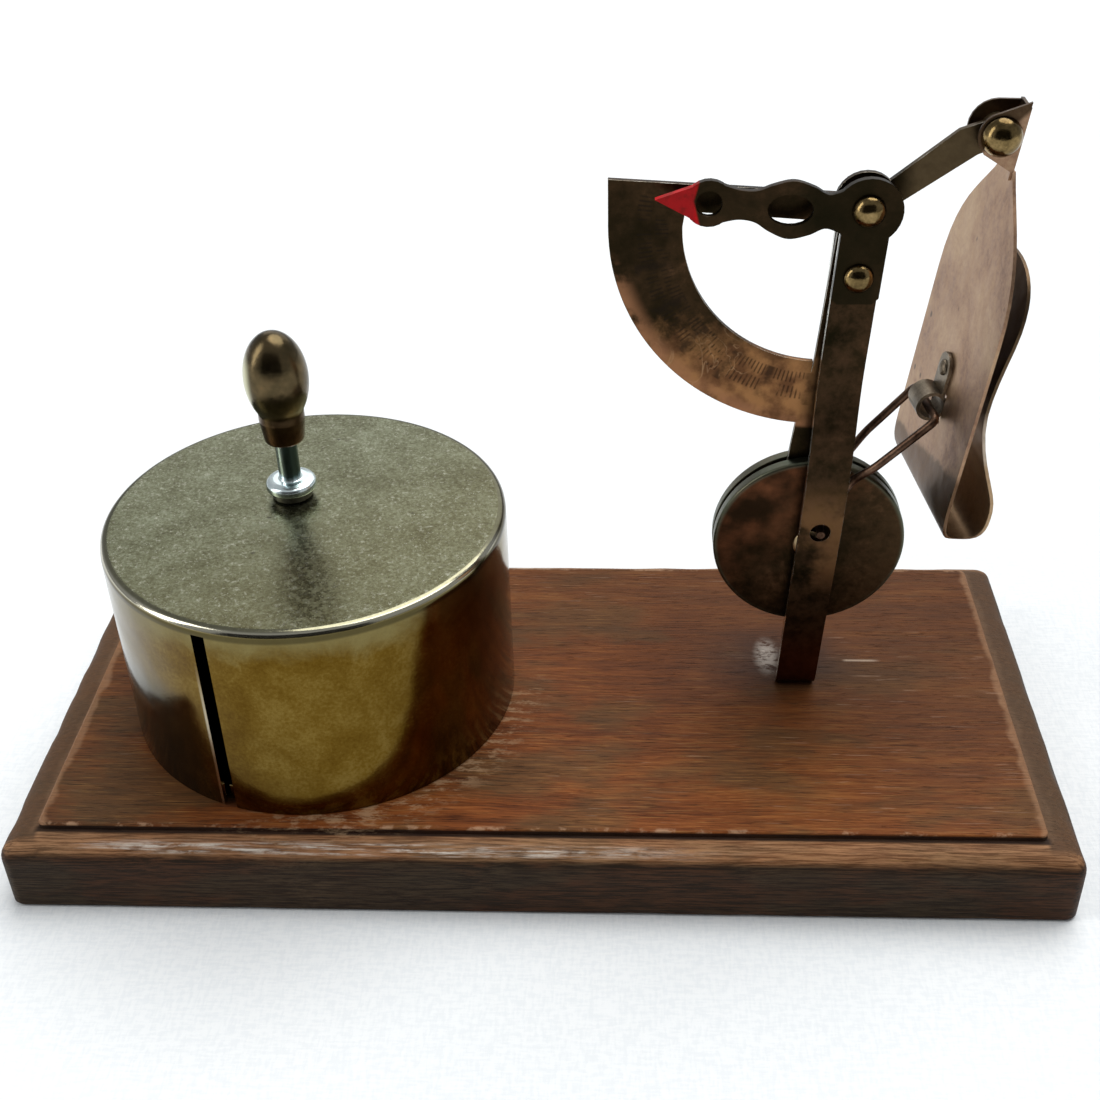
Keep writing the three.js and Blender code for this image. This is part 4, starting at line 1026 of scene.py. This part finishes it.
def make_wire():
    """The wire stay as a smooth round tube along the line that its CAD solid follows."""
    low, high = box_mm("wire_link")
    pin_x, pin_z = 40.654, 42.3
    bend_x, bend_z = 44.8, 50.0
    splay_x, splay_z = 47.4, 52.9
    radius, bend_reach = 0.6, 1.2
    spread, splayed = 3.5, 5.0
    skew = splayed * math.tan(math.radians(6.8))
    end_x, end_z = high.x - radius - skew, high.z - radius

    def side_corners(side, tip):
        near, far = MIDDLE + side * spread, MIDDLE + side * splayed
        return [
            (pin_x, tip, pin_z), (pin_x, near, pin_z), (bend_x, near, bend_z),
            (splay_x, far, splay_z), (end_x - side * skew, far, end_z),
        ]

    corners = [Vector(c) for c in (*side_corners(-1, low.y), *reversed(side_corners(1, high.y)))]
    route = [corners[0]]
    for before, at, after in zip(corners, corners[1:], corners[2:]):
        start = at + (before - at).normalized() * bend_reach
        end = at + (after - at).normalized() * bend_reach
        route += curved(start, at, end, 8)
    route.append(corners[-1])
    bm = bmesh.new()
    across = Vector((0.3, 0.2, 1))
    rings = []
    for i, point in enumerate(route):
        along = (route[min(i + 1, len(route) - 1)] - route[max(i - 1, 0)]).normalized()
        across = (across - along * across.dot(along)).normalized()
        beside = along.cross(across)
        rings.append([bm.verts.new(point + across * u + beside * v) for u, v in circle(radius, 20)])
    skin(bm, rings)
    settle("wire", to_mesh("wire", bm), "link", [wire_brass], ["wire_link"])


make_wire()

# Small pieces that keep their CAD meshes.
CARRIED_OVER = {
    "pivot_spacer_front": spacer_brass,
    "pivot_spacer_rear": spacer_brass,
    "ear_spacer_front": spacer_brass,
    "ear_spacer_rear": spacer_brass,
    "lug_rivet": lug_metal,
    "post_screw": steel,
    "spindle_clip": zinc,
    "dispenser_screw_1": spacer_brass,
    "dispenser_screw_2": spacer_brass,
    "dispenser_screw_3": spacer_brass,
}
for node, material in CARRIED_OVER.items():
    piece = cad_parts[node]
    piece.data.materials.clear()
    piece.data.materials.append(material)
    for face in piece.data.polygons:
        face.material_index = 0


# ---------------------------------------------------------------- floor and light (metres)

def make_stage_sheet(name, corners, material, z=0.0, seen=True):
    """A flat four-cornered sheet that belongs to the studio, not to the object."""
    mesh = bpy.data.meshes.new(name)
    mesh.from_pydata(corners, [], [(0, 1, 2, 3)])
    mesh.materials.append(material)
    sheet = new_object(name, mesh)
    sheet.location.z = z
    sheet.visible_camera = seen


def make_floor():
    """A pale cloth with a faint weave, just below the board."""
    half, below = 20.0, -0.0001
    s = Shader("floor_cloth")
    cloud = s.noise(0.02, 3, 0.5)
    s.colour = s.mix(cloud, (0.775, 0.8, 0.805), (0.82, 0.83, 0.83))
    weft = s.noise(0.8, 2, 0.6, s.moved((2.2, 0.5, 1)))
    warp = s.noise(0.8, 2, 0.6, s.moved((0.5, 2.2, 1), (9, 3, 0)))
    weave = s.plus(weft, warp)
    s.coat(s.ramp(weave, 0.85, 1.2), 0.3, (0.62, 0.66, 0.69))
    corners = [(-half, -half, 0), (half, -half, 0), (half, half, 0), (-half, half, 0)]
    cloth = s.finish(0.9, 0.0, s.bump(weave, 0.06))
    make_stage_sheet("floor", corners, cloth, z=below)


def make_dark_card():
    """A black card behind the camera, unseen by it: something dark for polished metal to mirror."""
    half, low, high, y = 0.75, 0.02, 0.95, -0.85
    s = Shader("black_card")
    s.colour = (0.012, 0.011, 0.01)
    corners = [(-half, y, low), (half, y, low), (half, y, high), (-half, y, high)]
    make_stage_sheet("dark_card", corners, s.finish(0.9, 0.0), seen=False)


def hang(light, direction, at=(0, 0, 0)):
    """Puts a light in the scene, shining in a direction."""
    lamp = new_object(light.name, light)
    lamp.location = at
    lamp.rotation_euler = direction.to_track_quat("-Z", "Y").to_euler()


def make_area_light(name, at, size, power):
    """A rectangular light that looks at the middle of the board."""
    light = bpy.data.lights.new(name, "AREA")
    light.shape = "RECTANGLE"
    light.size, light.size_y = size
    light.energy = power
    hang(light, Vector((0, 0, 0.03)) - Vector(at), at)


def make_overhead_light():
    """A broad, soft light from above, a little from the right and behind."""
    sun = bpy.data.lights.new("overhead", "SUN")
    sun.energy = 2.7
    sun.angle = math.radians(50)
    hang(sun, Vector((-0.25, -0.3, -0.92)))


def make_world():
    world = bpy.data.worlds.new("studio")
    scene.world = world
    world.use_nodes = True
    background = world.node_tree.nodes["Background"]
    background.inputs["Color"].default_value = (0.93, 0.96, 1.0, 1)
    background.inputs["Strength"].default_value = 0.42


make_floor()
make_dark_card()
make_overhead_light()
make_area_light("back", (0.05, 0.95, 0.62), (1.3, 0.6), 2.2)
make_area_light("left", (-0.75, -0.2, 0.45), (0.25, 0.8), 3.0)
make_world()

# ---------------------------------------------------------------- end

bpy.context.view_layer.update()
